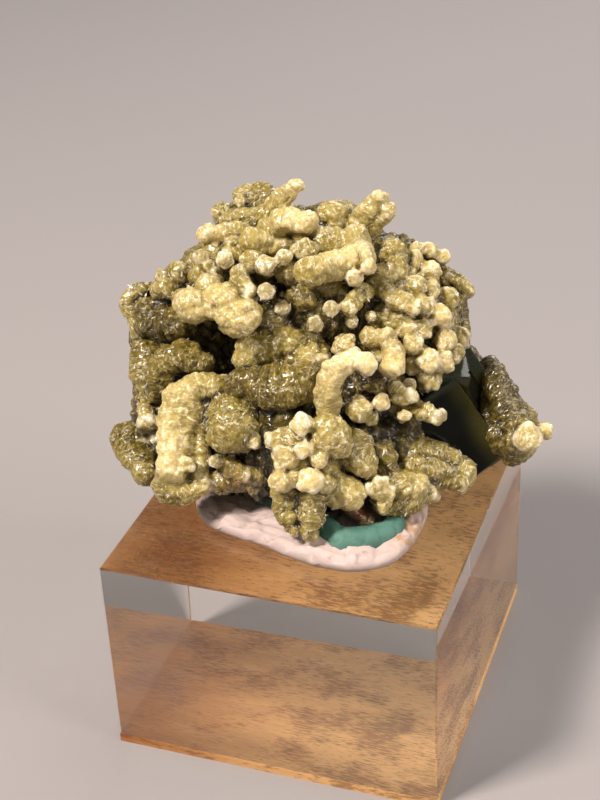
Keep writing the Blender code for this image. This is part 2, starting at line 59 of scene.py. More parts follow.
# View that the specimen is laid out in; the camera stands at its eye
sight = {
    "azimuth": 20.5,
    "elevation": 30.8,
    "roll": -2.8,
    "distance": 160.0,
    "centre": (-4.7, 7.6, 26.5),
    "lens": 72.0,
    "sensor": 36.0,
    "lean": 0.35,       # above leanStart the crust comes forward by this much per millimetre of height
    "leanStart": 6.0,
    "stem": (3.0, 0.85),    # length, and share of the radius, of the stem behind a single ball
}


def sightAxes():
    # Columns are the view's right, up and towards-the-eye directions
    azimuth, elevation, roll = (math.radians(sight[word]) for word in ("azimuth", "elevation", "roll"))
    level = np.array([math.cos(azimuth), math.sin(azimuth), 0.0])
    ahead = np.array([-math.sin(azimuth), math.cos(azimuth), 0.0])
    near = np.array([0.0, 0.0, math.sin(elevation)]) - ahead * math.cos(elevation)
    rise = np.cross(near, level)
    right = level * math.cos(roll) + rise * math.sin(roll)
    up = rise * math.cos(roll) - level * math.sin(roll)
    return np.stack([right, up, near], 1)


axes = sightAxes()
eye = np.array(sight["centre"]) + axes[:, 2] * sight["distance"]


def sighted(right, up, near):
    # Point = centre + axes . (right s, up s, near), s = 1 - near / distance: it keeps its place in view
    shrink = 1.0 - near / sight["distance"]
    return np.array(sight["centre"]) + axes @ np.array([right * shrink, up * shrink, near])


def sightedStations(stations):
    # Stations of a finger as rows of x, y, z, radius; a single one gets a stem that runs away from the eye
    rows = []
    for right, up, near, radius in stations:
        depth = near + sight["lean"] * max(0.0, up - sight["leanStart"])
        rows.append([*sighted(right, up, depth), radius * (1.0 - depth / sight["distance"])])
    if len(rows) == 1:
        length, share = sight["stem"]
        rows.insert(0, [*(rows[0][:3] - axes[:, 2] * length), rows[0][3] * share])
    return np.array(rows)


# Material tools

def tint(red, green, blue):
    # A colour given from 0 to 255 as the eye sees it, made linear for a shader
    share = np.array([red, green, blue]) / 255
    linear = np.where(share <= 0.04045, share / 12.92, ((share + 0.055) / 1.055) ** 2.4)
    return (*linear.tolist(), 1.0)


class Wire:
    # A node's output; arithmetic on it adds Math nodes
    def __init__(self, finish, socket):
        self.finish = finish
        self.socket = socket

    def maths(self, operation, first, second):
        return self.finish.add("ShaderNodeMath", {"operation": operation}, {0: first, 1: second})

    def __add__(self, other):
        return self.maths("ADD", self, other)

    def __sub__(self, other):
        return self.maths("SUBTRACT", self, other)

    def __rsub__(self, other):
        return self.maths("SUBTRACT", other, self)

    def __mul__(self, other):
        return self.maths("MULTIPLY", self, other)

    __radd__ = __add__
    __rmul__ = __mul__

    def fract(self):
        return self.finish.add("ShaderNodeMath", {"operation": "FRACT"}, {0: self})

    def bounded(self):
        return self.finish.add("ShaderNodeClamp", {}, {0: self})


class Finish:
    # One material and its nodes
    def __init__(self, name, **fixed):
        self.material = bpy.data.materials.new(name)
        self.material.use_nodes = True
        self.tree = self.material.node_tree
        self.shader = self.tree.nodes["Principled BSDF"]
        self.where = self.add("ShaderNodeTexCoord", {}, {}, "Object")
        self.shade(**fixed)

    def add(self, kind, settings, sockets, output=0):
        node = self.tree.nodes.new(kind)
        for name, value in settings.items():
            if name == "stops":
                self.fillRamp(node.color_ramp, value)
            else:
                setattr(node, name, value)
        for name, value in sockets.items():
            self.join(value, node.inputs[name])
        return Wire(self, node.outputs[output])

    def join(self, value, socket):
        if isinstance(value, Wire):
            self.tree.links.new(value.socket, socket)
        else:
            socket.default_value = value

    def fillRamp(self, ramp, stops):
        while len(ramp.elements) < len(stops):
            ramp.elements.new(0.5)
        for element, (position, colour) in zip(ramp.elements, stops):
            element.position = position
            element.color = colour

    def attribute(self, name):
        return self.add("ShaderNodeAttribute", {"attribute_name": name}, {}, "Fac")

    def noise(self, scale, detail=3.0, roughness=0.55, distortion=0.0, where=None):
        sockets = {"Vector": where or self.where, "Scale": scale, "Detail": detail, "Roughness": roughness}
        return self.add("ShaderNodeTexNoise", {}, {**sockets, "Distortion": distortion})

    def between(self, value, low, high):
        # value carried from low..high to 0..1 with soft ends
        settings = {"interpolation_type": "SMOOTHSTEP"}
        return self.add("ShaderNodeMapRange", settings, {"Value": value, "From Min": low, "From Max": high})

    def mixed(self, share, first, second):
        return self.add("ShaderNodeMix", {"data_type": "RGBA"}, {0: share, 6: first, 7: second}, 2)

    def ramp(self, share, stops):
        return self.add("ShaderNodeValToRGB", {"stops": stops}, {0: share})

    def vector(self, operation, first, second, output=0):
        return self.add("ShaderNodeVectorMath", {"operation": operation}, {0: first, 1: second}, output)

    def bump(self, height, strength, distance=1.0):
        return self.add("ShaderNodeBump", {}, {"Height": height, "Strength": strength, "Distance": distance})

    def facets(self, scale):
        # Height of small flat facets, each tilted its own way: (colour - 0.5) . (place - cell centre)
        cell = self.add("ShaderNodeTexVoronoi", {}, {"Vector": self.where, "Scale": scale}).socket.node
        colour, centre = (Wire(self, cell.outputs[word]) for word in ("Color", "Position"))
        tilt = self.vector("SUBTRACT", colour, (0.5, 0.5, 0.5))
        return self.vector("DOT_PRODUCT", tilt, self.vector("SUBTRACT", self.where, centre), "Value")

    def shade(self, **sockets):
        for name, value in sockets.items():
            self.join(value, self.shader.inputs[name.replace("_", " ")])
        return self.material


# Mesh tools

def linked(name, data):
    item = bpy.data.objects.new(name, data)
    bpy.context.scene.collection.objects.link(item)
    return item


def plainObject(name, points, faces):
    # An object at the origin from points in millimetres and rows of corner numbers
    mesh = bpy.data.meshes.new(name)
    mesh.vertices.add(len(points))
    mesh.vertices.foreach_set("co", (points * mm).astype(np.float32).ravel())
    mesh.loops.add(faces.size)
    mesh.loops.foreach_set("vertex_index", faces.astype(np.int32).ravel())
    mesh.polygons.add(len(faces))
    mesh.polygons.foreach_set("loop_start", np.arange(len(faces), dtype=np.int32) * faces.shape[1])
    mesh.update(calc_edges=True)
    return linked(name, mesh)


def newPiece(name, points, faces, material, node, smooth=True, values=None):
    # A piece kept inside the CAD box; values holds numbers for each point by name
    piece = plainObject(name, np.clip(points, cadLow + keptIn, cadHigh - keptIn), faces)
    mesh = piece.data
    mesh.polygons.foreach_set("use_smooth", np.full(len(faces), smooth))
    for word, numbers in (values or {}).items():
        mesh.attributes.new(word, "FLOAT", "POINT").data.foreach_set("value", numbers.astype(np.float32))
    mesh.materials.append(material)
    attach(piece, "root")
    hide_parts(node)
    print(f"  {name}: {len(faces) * (faces.shape[1] - 2)} triangles")


def wrapFaces(rings, around):
    # Triangles of a closed skin: a pole, rings of points, and a second pole
    here = np.arange(around)
    beside = (here + 1) % around
    first = 1 + around * np.arange(rings - 1)[:, None]
    a, b = first + here, first + beside
    c, d = a + around, b + around
    sides = np.concatenate([np.stack([a, b, d], 2), np.stack([a, d, c], 2)]).reshape(-1, 3)
    last = 1 + around * (rings - 1)
    end = last + around
    start = np.stack([np.zeros_like(here), beside + 1, here + 1], 1)
    close = np.stack([np.full_like(here, end), last + here, last + beside], 1)
    return np.concatenate([sides, start, close])


def unit(vectors):
    return vectors / np.maximum(np.linalg.norm(vectors, axis=-1, keepdims=True), 1e-9)


def crossFrame(tangents):
    # Two directions square to a path, steady along it: cross products with the axis it follows least
    reference = np.eye(3)[np.abs(tangents).max(0).argmin()]
    across = unit(np.cross(tangents, reference))
    return across, np.cross(tangents, across)


def travelled(path):
    # The way along a path to each of its points
    return np.concatenate([[0.0], np.cumsum(np.linalg.norm(np.diff(path, axis=0), axis=1))])


def resampled(rows, along, spots):
    return np.stack([np.interp(spots, along, column) for column in rows.T], 1)


def rod(rows, spacing, around, rib=0.0, ribStep=1.0, phase=0.0):
    # Ring point = c(t) + r(t) (1 + rib (2 |sin| - 1)) (1 + waves in a and t) (cos a . u + sin a . v), and
    # half a ball at each end
    along = travelled(rows[:, :3])
    count = max(3, int(along[-1] / spacing) + 2)
    spots = np.linspace(0.0, along[-1], count)
    line = resampled(rows, along, spots)
    for turn in range(3):
        line[1:-1] = (line[:-2] + 2 * line[1:-1] + line[2:]) / 4
    centres, radii = line[:, :3], line[:, 3]
    tangents = unit(np.gradient(centres, axis=0))
    radii = radii * (1 + rib * (2 * np.abs(np.sin(np.pi * spots / ribStep + phase)) - 1))
    lift = np.radians([72, 54, 36, 18])
    centres = np.concatenate([centres[:1] - tangents[:1] * (radii[0] * np.sin(lift))[:, None], centres,
                              centres[-1:] + tangents[-1:] * (radii[-1] * np.sin(lift[::-1]))[:, None]])
    heads = [np.repeat(tangents[:1], 4, 0), tangents, np.repeat(tangents[-1:], 4, 0)]
    poles = [line[0, :3] - tangents[0] * radii[0], line[-1, :3] + tangents[-1] * radii[-1]]
    radii = np.concatenate([radii[0] * np.cos(lift), radii, radii[-1] * np.cos(lift[::-1])])
    across, aside = crossFrame(np.concatenate(heads))
    turn = np.linspace(0, 2 * np.pi, around, endpoint=False)
    ring = across[:, None] * np.cos(turn)[:, None] + aside[:, None] * np.sin(turn)[:, None]
    travel = np.linspace(0, 1.3 * along[-1], len(centres))[:, None]
    uneven = 1 + 1.6 * rib * np.cos(2 * turn + phase + 0.8 * travel)
    uneven = uneven + rib * np.cos(3 * turn - phase - 1.1 * travel)
    points = centres[:, None] + (radii[:, None] * uneven)[:, :, None] * ring
    return np.concatenate([poles[:1], points.reshape(-1, 3), poles[1:]]), wrapFaces(len(centres), around)


def joined(shapes):
    # Several skins as one array of points and one of faces
    counts = np.cumsum([0] + [len(points) for points, faces in shapes])
    faces = [faces + start for (points, faces), start in zip(shapes, counts)]
    return np.concatenate([points for points, faces in shapes]), np.concatenate(faces)


def fused(name, shapes, voxel):
    # Overlapping skins made one by a voxel remesh, as arrays of points, normals, faces and edges
    rough = plainObject(name + "Rough", *joined(shapes))
    remesh = rough.modifiers.new("fuse", "REMESH")
    remesh.mode = "VOXEL"
    remesh.voxel_size = voxel * mm
    return evaluated(rough)


def evaluated(item):
    # Points, normals, faces and edges of an item as its modifiers leave it; the item goes
    skin = item.evaluated_get(bpy.context.evaluated_depsgraph_get()).to_mesh()
    skin.calc_loop_triangles()
    arrays = []
    for rows, word, kind, width in ((skin.vertices, "co", np.float32, 3),
                                    (skin.vertex_normals, "vector", np.float32, 3),
                                    (skin.loop_triangles, "vertices", np.int32, 3),
                                    (skin.edges, "vertices", np.int32, 2)):
        numbers = np.zeros(len(rows) * width, kind)
        rows.foreach_get(word, numbers)
        arrays.append(numbers.reshape(-1, width))
    item.to_mesh_clear()
    bpy.data.objects.remove(item)
    points, normals, faces, edges = arrays
    return points.astype(float) / mm, normals.astype(float), faces, edges


def hashed(cells, seed):
    # Three numbers from 0 to 1 for each whole-number cell, by mixing its coordinates' bits
    key = cells.astype(np.int64).astype(np.uint64) * np.array([73856093, 19349663, 83492791], np.uint64)
    mixedBits = (key[:, 0] ^ key[:, 1] ^ key[:, 2]) + np.uint64(seed * 2654435761)
    numbers = []
    for turn in range(3):
        mixedBits = (mixedBits ^ (mixedBits >> np.uint64(33))) * np.uint64(18397679294719823053)
        mixedBits = mixedBits ^ (mixedBits >> np.uint64(29))
        numbers.append((mixedBits >> np.uint64(11)).astype(float) / 2 ** 53)
    return np.stack(numbers, 1)


def cells(points, size, seed):
    # Nearest of the points strewn one to a cube of that size: the way from it, its own numbers, and how
    # far its border is
    scaled = points / size
    base = np.floor(scaled)
    nearest = np.full(len(points), np.inf)
    second = nearest.copy()
    gap = np.zeros_like(points)
    numbers = np.zeros_like(points)
    for shift in np.array(np.meshgrid([-1, 0, 1], [-1, 0, 1], [-1, 0, 1])).T.reshape(-1, 3):
        chance = hashed(base + shift, seed)
        away = scaled - (base + shift + chance)
        distance = np.linalg.norm(away, axis=1)
        closer = distance < nearest
        second = np.where(closer, nearest, np.minimum(second, distance))
        nearest = np.where(closer, distance, nearest)
        gap[closer] = away[closer]
        numbers[closer] = hashed(base[closer] + shift, seed + 7)
    return gap * size, numbers, (second - nearest) * size


def averaged(values, edges, rounds):
    # Each value becomes the mean of itself and its neighbours' mean, several times over
    total = np.bincount(edges.ravel(), minlength=len(values)).astype(float)
    for turn in range(rounds):
        flow = np.bincount(edges[:, 0], values[edges[:, 1]], len(values))
        flow += np.bincount(edges[:, 1], values[edges[:, 0]], len(values))
        values = (values + flow / np.maximum(total, 1)) / 2
    return values


def convexity(points, normals, edges):
    # How far a point stands above the mean of its neighbours, along its normal
    middle = np.stack([averaged(points[:, axis], edges, 1) for axis in range(3)], 1)
    return ((points - middle) * normals).sum(1)


# Mica: the crust of fingers. Each finger is its tone (0 dark olive to 1 pale yellow), how white its tip is,
# and its stations from root to tip: right, up, near, radius
micaSizes = {
    "voxel": 0.18,
    "spacing": 0.28,    # between the rings of a rod
    "around": 20,
    "rib": 0.05,
    "ribStep": 1.15,
    "bend": (0.28, 2.1),    # reach and pitch of the sines that bend the relief
    "lump": (2.6, 0.20),    # size of the cells and height of the relief
    "bulge": (1.35, 0.15),
    "bead": (0.80, 0.08),
    "plate": (0.95, 0.25, 0.05),    # cell size, tilt, height of the dome
    "scale": (0.46, 0.26, 0.03),
    "roughFlakes": (4400, 21, 0.32, 0.13),    # count, seed, wanted tone and how far from it they reach
    "backFlakes": (1500, 22, 0.5, 0.4),
    "flakeRadius": (0.16, 0.36),
    "flakeShape": 0.28,
    "flakeThickness": 0.03,
    "bud": 1.35,    # a finger up to this radius can end in a bud
    "crease": 0.35,    # depth of a full hollow, where the painted shade is full, and below it the height of a full crest, where the painted highlight is full
    "crest": 0.055,
    "stains": [((5.8, -11.3, 14.0), 1.2, 0.9), ((-6.4, -8.2, 12.6), 1.6, 0.45),
               ((1.5, -9.2, 15.0), 0.9, 0.3)],
}

crownLeft = [
    (0.24, 0, (-13, 6.4, 2.5, 4), (-8, 12, 4, 4.3), (-3.5, 14.4, 4, 4.8)), (0.5, 0.3, (-5, 13.8, 9.6, 1.2)),
    (0.45, 0.3, (-9.4, 12.4, 8.4, 1.3)), (0.45, 0.3, (-13.4, 11.2, 6.8, 1.2)),
    (0.4, 0.3, (-6.6, 15, 7.8, 1.2)), (0.35, 0.2, (-11.4, 10.2, 8, 1.3)), (0.5, 0.3, (-12, 12.8, 6.4, 1)),
    (0.3, 0.1, (-15.7, 9.7, 4.6, 1.3)), (0.28, 0.1, (-4.4, 18.6, 1.5, 1.9), (-3.7, 19.9, 2, 1.85)),
    (0.5, 0.3, (-5.2, 18.6, 1.6, 1.3), (-5.4, 20.2, 1.8, 1.15)),
    (0.52, 0.5, (-6.2, 18.8, 2.6, 1), (-6, 19.8, 3, 0.8)),
    (0.57, 0.5, (-7.2, 18.3, 3.5, 0.9), (-4.3, 18.5, 4.5, 1)),
    (0.47, 0.4, (-6.6, 17, 2, 1.4), (-7.8, 18.6, 3, 1)),
    (0.72, 0.5, (-5.6, 16.4, 6.2, 1.35), (-9.1, 16.5, 7, 1.2)), (0.67, 0.9, (-7.5, 14, 10.5, 0.9)),
    (0.62, 0.8, (-10, 14.2, 8.5, 0.8)), (0.52, 0.5, (-9.2, 13.5, 9.2, 0.6)),
    (0.57, 0.5, (-8.8, 15.2, 7.5, 0.75), (-8.6, 13.2, 9, 0.75)),
    (0.67, 0.8, (-6.2, 12.6, 12, 0.9), (-5.4, 11, 12.5, 0.95)),
    (0.45, 0.3, (-11.2, 12, 5.5, 1.2), (-13.7, 12.3, 6.5, 0.8)),
    (0.4, 0.2, (-12.4, 10.4, 5, 1.4), (-14, 10.8, 6, 0.9)),
    (0.5, 0.6, (-15, 11.5, 4.5, 0.6), (-16.8, 10.7, 5, 0.6), (-17.5, 9.8, 5.5, 0.6)),
    (0.45, 0.3, (-17.5, 9.8, 5.5, 0.6), (-16.8, 8.4, 6, 0.75), (-16.3, 6.8, 6.2, 0.8)),
    (0.14, 0, (-14.8, 8.2, 5.8, 2.1), (-12, 7.9, 6.8, 2.2)), (0.7, 0.2, (-10.7, 9.5, 12.2, 1.9)),
    (0.62, 0.2, (-9, 11.4, 10.5, 1.3)), (0.72, 0.2, (-7.7, 10.3, 12.9, 1.75)),
    (0.77, 0.2, (-8.9, 9.2, 13, 1.2)), (0.72, 0.2, (-6.2, 8.4, 13.6, 2.2)),
]
crownMiddle = [
    (0.22, 0, (-3.5, 14.4, 4, 4.8), (4, 15, 3.5, 4.4), (10.4, 11.2, 4.5, 4)),
    (0.4, 0.2, (-1.2, 12.9, 10.4, 1.4)), (0.3, 0.2, (3, 11.4, 10.6, 1.6)),
    (0.22, 0.1, (0.2, 10.2, 11, 1.5)), (0.35, 0.2, (4.4, 10.2, 11, 1.4)), (0.52, 0.3, (0.6, 14.9, 10, 1.2)),
    (0.52, 0.3, (5.6, 16.2, 8, 1.4)), (0.5, 0.3, (-3, 17.4, 6.6, 1.2)), (0.28, 0.3, (-2.9, 8, 11.2, 1.2)),
    (0.1, 0, (-2, 5.5, 6, 5), (3, 9.5, 6, 5.6)),
    (0.77, 0.4, (-3.8, 18, 5, 1.3), (-2, 20, 6, 1.05), (-0.4, 21.3, 6.5, 0.8)),
    (0.87, 0.3, (-3.6, 16.4, 7, 1.4), (-1.6, 18, 8, 1.5), (0.3, 17.8, 9, 1.2)),
    (0.62, 0.2, (0.4, 16.3, 8, 1.1)), (0.82, 0.4, (-4.9, 16, 9, 1.2), (-2.4, 15.4, 8, 1.4)),
    (0.57, 0.2, (3.2, 18.3, 5, 1.9)),
    (0.72, 0.5, (5.2, 16.6, 5.5, 1.4), (6.8, 18.6, 6.5, 1.2), (7.8, 20, 7, 0.85)),
    (0.67, 0.5, (6.8, 17, 6, 1.1), (8.7, 18.8, 7.2, 0.8)),
    (0.62, 0.2, (2.6, 15.4, 8.5, 1.9), (4.8, 15.2, 8.5, 1.9)),
    (0.92, 0.3, (0.9, 12.8, 13.5, 1.55), (3.6, 13.6, 12.6, 1.5), (6, 14.3, 11.5, 1.4)),
    (0.77, 0.6, (6.7, 14.5, 13, 0.6)), (0.72, 0.6, (6.8, 13.4, 13.3, 0.8)),
    (0.67, 0.8, (5.4, 12.3, 13.2, 0.85)), (0.57, 0.4, (6.4, 10.8, 12, 0.95), (5.1, 9.5, 13.2, 0.95)),
    (0.57, 0.8, (-3.5, 13.4, 12, 1)), (0.55, 0.8, (-1.6, 14.3, 11.5, 0.8)),
    (0.4, 0.5, (-0.3, 15, 10.5, 0.7)), (0.42, 1, (-3.3, 10.8, 13, 0.85)), (0.34, 1, (-1.8, 9.2, 12.5, 0.8)),
    (0.36, 1, (3.1, 9.1, 13.3, 0.8)), (0.34, 1, (1.5, 7.6, 13.3, 0.8)), (0.45, 0.7, (5.3, 7.8, 12.5, 0.7)),
    (0.45, 0.7, (7, 8.3, 12.5, 0.7)),
]
crownRight = [
    (0.18, 0, (3, 9.5, 6, 5.6), (8.6, 8, 6.6, 5), (12, 5.8, 6.6, 3.6)), (0.42, 0.1, (9, 11.4, 9.2, 1.9)),
    (0.42, 0.1, (12, 10.6, 8.6, 1.9)), (0.4, 0.1, (14, 8, 7.8, 1.9)), (0.4, 0.1, (11, 7.8, 10, 1.9)),
    (0.38, 0.1, (13.6, 5.6, 9.2, 1.8)), (0.36, 0.1, (11.4, 4.6, 10.6, 1.8)),
    (0.34, 0.1, (8, 7.8, 10.6, 1.8)), (0.36, 0.1, (12.6, 2.8, 10.2, 1.5)),
    (0.55, 0.3, (8.4, 12.6, 9.8, 1.4)), (0.5, 0.3, (11.6, 11.2, 9.6, 1.2)),
    (0.55, 0.4, (12.4, 9.4, 10.6, 1.1)), (0.5, 0.3, (14.6, 10.2, 8, 1.2)),
    (0.45, 0.3, (9.8, 7.6, 11.4, 1.2)), (0.57, 0.4, (11.4, 14, 7.6, 1)), (0.5, 0.4, (8, 5, 12.6, 1)),
    (0.57, 0.4, (15.4, 4.6, 10, 1)), (0.57, 0.1, (9.3, 14.6, 8.5, 1.5), (9.3, 13, 9, 1.5)),
    (0.72, 0.6, (11.7, 15.2, 6.5, 0.85)), (0.72, 0.6, (13, 15, 6.2, 0.85)),
    (0.67, 0.6, (14.3, 14.3, 5.8, 0.75)), (0.82, 0.4, (13.1, 13, 8.2, 1)), (0.72, 0.4, (13, 11, 9.2, 1.05)),
    (0.62, 0.4, (11, 12.8, 8.5, 0.65)),
    (0.5, 0.3, (14.2, 12, 4, 1.4), (15.4, 12.3, 5, 0.8), (16.6, 11, 4.8, 0.75)),
    (0.25, 0.2, (14.6, 9, 4.5, 2), (15.6, 10, 5.4, 1.1), (15.9, 8.2, 5.6, 1), (15.9, 6.6, 6.6, 1.1)),
    (0.62, 0.5, (7.6, 11.6, 10.4, 0.95), (9.5, 10.2, 12, 1), (11.2, 9.4, 13, 0.9)),
    (0.5, 0.2, (8.4, 9, 10.5, 1.3)), (0.77, 0.5, (14, 8.2, 10.7, 1.3)), (0.62, 0.5, (10.8, 7.2, 11.7, 1.1)),
    (0.67, 0.5, (12.4, 7.1, 11.6, 1.1)), (0.82, 0.4, (7.1, 6.4, 13.6, 1.05), (8.4, 6.2, 14.3, 1.1)),
    (0.92, 0.3, (9.3, 4.9, 14.5, 1.2), (9.3, 3.6, 14.8, 1.25)), (0.62, 0.4, (11.3, 5.5, 13, 1)),
    (0.72, 0.6, (14.4, 5.8, 11, 1.1)), (0.62, 0.5, (16, 6, 8.5, 1.15)), (0.72, 0.6, (13, 3.8, 12.5, 1.25)),
    (0.62, 0.6, (14.4, 3.7, 12, 1.05)), (0.57, 0.5, (12.9, 2, 11.5, 1.2)),
    (0.55, 0.5, (11.4, 3.6, 11.5, 1.2)),
]
middleFingers = [
    (0.02, 0, (-8, -3.6, 6, 5.6), (-1, -4, 8.5, 6), (4.5, -5, 9, 6), (9, -4.6, 9, 3.6)),
    (0.02, 0, (2, 1.5, 9, 5.2), (6.6, 2.2, 9, 4.4)),
    (0.45, 0.1, (-4, 5.3, 11.4, 2), (-1.2, 5.4, 11.2, 2.2)), (0.6, 0.3, (-5.2, 5.5, 12.6, 1.1)),
    (0.55, 0.2, (-5.4, 4.1, 12.3, 1.3)),
    (0.22, 0, (-5.6, 1.2, 13.3, 1.9), (-2.6, 1.1, 14, 2.3), (0.4, 1.8, 14.3, 2.2)),
    (0.65, 0.5, (0.9, 3.7, 14.3, 0.9)), (0.7, 0.5, (2, 3.9, 14, 0.9)),
    (1, 0.4, (2.8, -0.9, 16, 1.35), (2.8, 1.2, 17, 1.25), (3.7, 3.3, 17.5, 1.2), (5.4, 4, 17.6, 1.05)),
    (0.95, 0.6, (6.5, 3.6, 17.8, 1.15)), (0.55, 0.3, (4.5, 5.4, 13.8, 1.2)),
    (0.55, 0.4, (5.9, -1, 15, 1.3)), (0.5, 0.5, (7.1, -1.9, 14.4, 0.75)), (0.35, 0.2, (7.6, 1.2, 13, 1.1)),
    (0.65, 0.9, (8.1, -0.3, 15, 0.9)), (0.65, 0.9, (9.9, 0.3, 14.2, 0.85), (10.9, 0.3, 14.2, 0.85)),
    (0.55, 0.6, (9.6, 1.1, 13.8, 0.8)), (0.5, 0.5, (11, 1.5, 13, 0.6)), (0.6, 0.8, (10.4, -1.6, 14.4, 0.7)),
    (0.45, 0.8, (9, -0.6, 11.5, 1), (11.5, -0.8, 13, 0.95), (13.6, -1.5, 14, 0.9)),
    (0.24, 0.1, (8, -1.8, 11, 1.2), (10.4, -2.5, 10.8, 1.1)),
    (0.3, 0.3, (8.4, -5.2, 13, 1.4), (8.6, -6.6, 13, 1.4)), (0.5, 0.6, (6.7, -4.2, 14, 0.65)),
]
lowerFingers = [
    (0.65, 0.7, (0.6, -3.6, 16.6, 1.4), (-1.4, -3.8, 17.2, 1.15), (-2.7, -3.9, 17.3, 0.8)),
    (0.8, 1, (0.3, -2.5, 18.3, 1.15)), (0.55, 0.2, (3, -3.5, 17.3, 2.2)),
    (0.7, 0.9, (0.4, -4.9, 18.2, 0.9)), (0.5, 0.2, (2.4, -6.6, 15.6, 1.7)),
    (0.72, 0.5, (-1.5, -5.6, 17.2, 1.35)), (0.62, 0.5, (-0.2, -3.4, 17.2, 0.9)),
    (0.66, 0.5, (1.9, -5.9, 17.8, 0.9)), (0.6, 0.4, (4.4, -4.6, 17.2, 0.9)),
    (0.66, 0.2, (0.3, -6.3, 16.6, 1.2)), (0.74, 0.5, (-1.9, -8.2, 17.2, 1.2)),
    (0.62, 0.4, (-0.4, -7.8, 17.2, 0.9)), (0.6, 0.3, (2.6, -8.4, 16.8, 1)),
    (0.85, 0.6, (1.1, -8.1, 18.4, 1.3)), (0.6, 0.3, (5.2, -5, 15, 1.9), (6.4, -6.2, 15.2, 1.6)),
    (0.75, 0.4, (3.6, -8.9, 15.4, 1.7), (5, -9.4, 15.3, 1.5)),
    (0.4, 0.1, (-1.6, -9.4, 15.2, 1.3), (-1.2, -11.4, 15.3, 1.1), (-0.5, -13, 15, 0.7)),
    (0.45, 0.2, (1.2, -9.8, 15.6, 1.5), (1.2, -11.8, 15.7, 1.35), (1, -13.4, 15.6, 0.8)),
    (0.1, 0.1, (5, -10.6, 13.2, 1), (6.6, -12, 13.3, 0.8)),
]
leftFingers = [
    (0.05, 0, (-13.5, -3.6, 5.5, 3.4), (-13, 2, 4, 3.6), (-8.4, 4.6, 1.2, 3.8)),
    (0.4, 0.2, (-15.6, 4.9, 6.5, 1.4), (-15.5, 3, 7, 1.5), (-15, 1.4, 7, 1.2)),
    (0.27, 0.1, (-14.2, 0.8, 8.6, 1.1), (-14, 2.4, 9, 1.3), (-13.4, 4, 9.5, 1.4)),
    (0.27, 0.1, (-13.4, 4, 9.5, 1.4), (-11.6, 4.5, 9.6, 1.5), (-9.8, 3.7, 9.4, 1.3)),
    (0.6, 0.9, (-14.6, -0.6, 6.8, 1.2), (-15.6, -0.8, 8, 0.9), (-15.2, -1.9, 8.6, 1.1)),
    (0.32, 0.2, (-17.1, -3.9, 7.6, 1.8), (-16.3, -5.6, 8.2, 1.8), (-15.5, -7.3, 8.8, 1.3)),
    (0.8, 0.3, (-8, 1.2, 12.3, 1.4), (-10.4, 1.4, 12.5, 1.6), (-12, 0, 12.5, 1.7)),
    (0.98, 0.3, (-12, 0, 12.5, 1.7), (-12.4, -2.2, 12.6, 1.7), (-12.6, -4.6, 12.6, 1.8),
     (-12.7, -7.2, 12.5, 1.7)),
    (0.8, 0.3, (-11.2, -0.6, 12.6, 1.3), (-11.5, -3, 12.7, 1.3), (-11.6, -5.6, 12.6, 1.3)),
    (0.5, 0.3, (-9.7, -0.8, 12.2, 1), (-9.7, -4, 12.3, 0.95), (-10.1, -7.2, 12.2, 1)),
    (0.8, 0.4, (-11.4, -6.4, 13.8, 0.9)),
    (0.65, 0.4, (-13.3, -8.7, 12.4, 1.5), (-11.4, -9.1, 12.4, 1.4), (-10, -8.5, 12.3, 1.2)),
    (0.4, 0.2, (-6.6, -0.8, 12.8, 2.2), (-6.7, -2.9, 13.8, 2.6)), (0.6, 0.8, (-4.6, -4.3, 14.5, 0.75)),
    (0.6, 0.7, (-8.5, -6.2, 13.5, 0.7)), (0.55, 0.6, (-7, -6.6, 13, 1), (-5.8, -7.4, 13, 1)),
    (0.42, 0.1, (-8, -8.2, 11.8, 1.3), (-4.8, -7.8, 12, 1.4)),
]
rightFingers = [
    (0.1, 0, (14, 8, 5, 2.2), (15.9, 5, 2.6, 1.4), (17.9, 2.2, 2.4, 1.4), (20.2, -0.8, 3.6, 1.8)),
    (0.35, 0.2, (10.4, -4.6, 10.6, 1.4), (13.4, -5.4, 10.6, 1.6), (15.4, -6.4, 10.2, 1.4)),
    (0.55, 0.4, (16.3, -7.2, 10.6, 1.45)), (0.7, 0.7, (9.6, -8.4, 13, 1.6), (11.4, -8.6, 12.6, 1.6)),
    (0.3, 0.2, (7.6, -8.6, 13.8, 1.2), (8.2, -10.4, 13.4, 1.1)),
    (0.95, 1, (8.4, -11.3, 14.4, 0.3), (6.9, -8.7, 15.3, 0.42)),
    (0.9, 1, (8.4, -11.3, 14.5, 0.3), (7.7, -8, 15.5, 0.42)),
    (0.95, 1, (8.5, -11.3, 14.5, 0.3), (8.6, -8, 15.5, 0.42)),
    (0.9, 1, (8.6, -11.3, 14.4, 0.3), (9.3, -8.9, 15.2, 0.42)),
    (0.45, 0.6, (8.8, -10.9, 13.2, 0.9), (10.8, -10.5, 12.8, 1), (12.6, -9.4, 12.2, 1.1)),
    (0.42, 0.3, (11.4, -7, 11.4, 1.7), (13.8, -7.4, 11.2, 1.6), (15.6, -7.8, 10.9, 1.3)),
    (0.3, 0.2, (16, 5.2, 4, 1.1), (16.8, 4, 3.6, 0.9), (18.9, 1.7, 3.4, 1.1)),
    (0.25, 0.2, (18.9, 1.7, 3.4, 1.1), (21.1, -0.5, 4, 1.3), (22.6, -1.9, 5.2, 1.2)),
    (0.12, 0.1, (19.6, 1, 6, 1.5), (20, -3.2, 6.6, 1.8)),
    (0.1, 0.1, (18.9, 3.6, 5, 0.9), (19.7, 2, 6.4, 1.25), (20.3, 0.2, 6.6, 1.65),
     (20.8, -1.9, 6.6, 2.15), (21.4, -4.1, 7.2, 2.1)), (0.72, 0.7, (23, -3.7, 9, 1.4)),
    (0.8, 0.6, (24.6, -3, 7, 0.85)), (0.14, 0.1, (21.4, -5.4, 7.6, 1.2)),
]
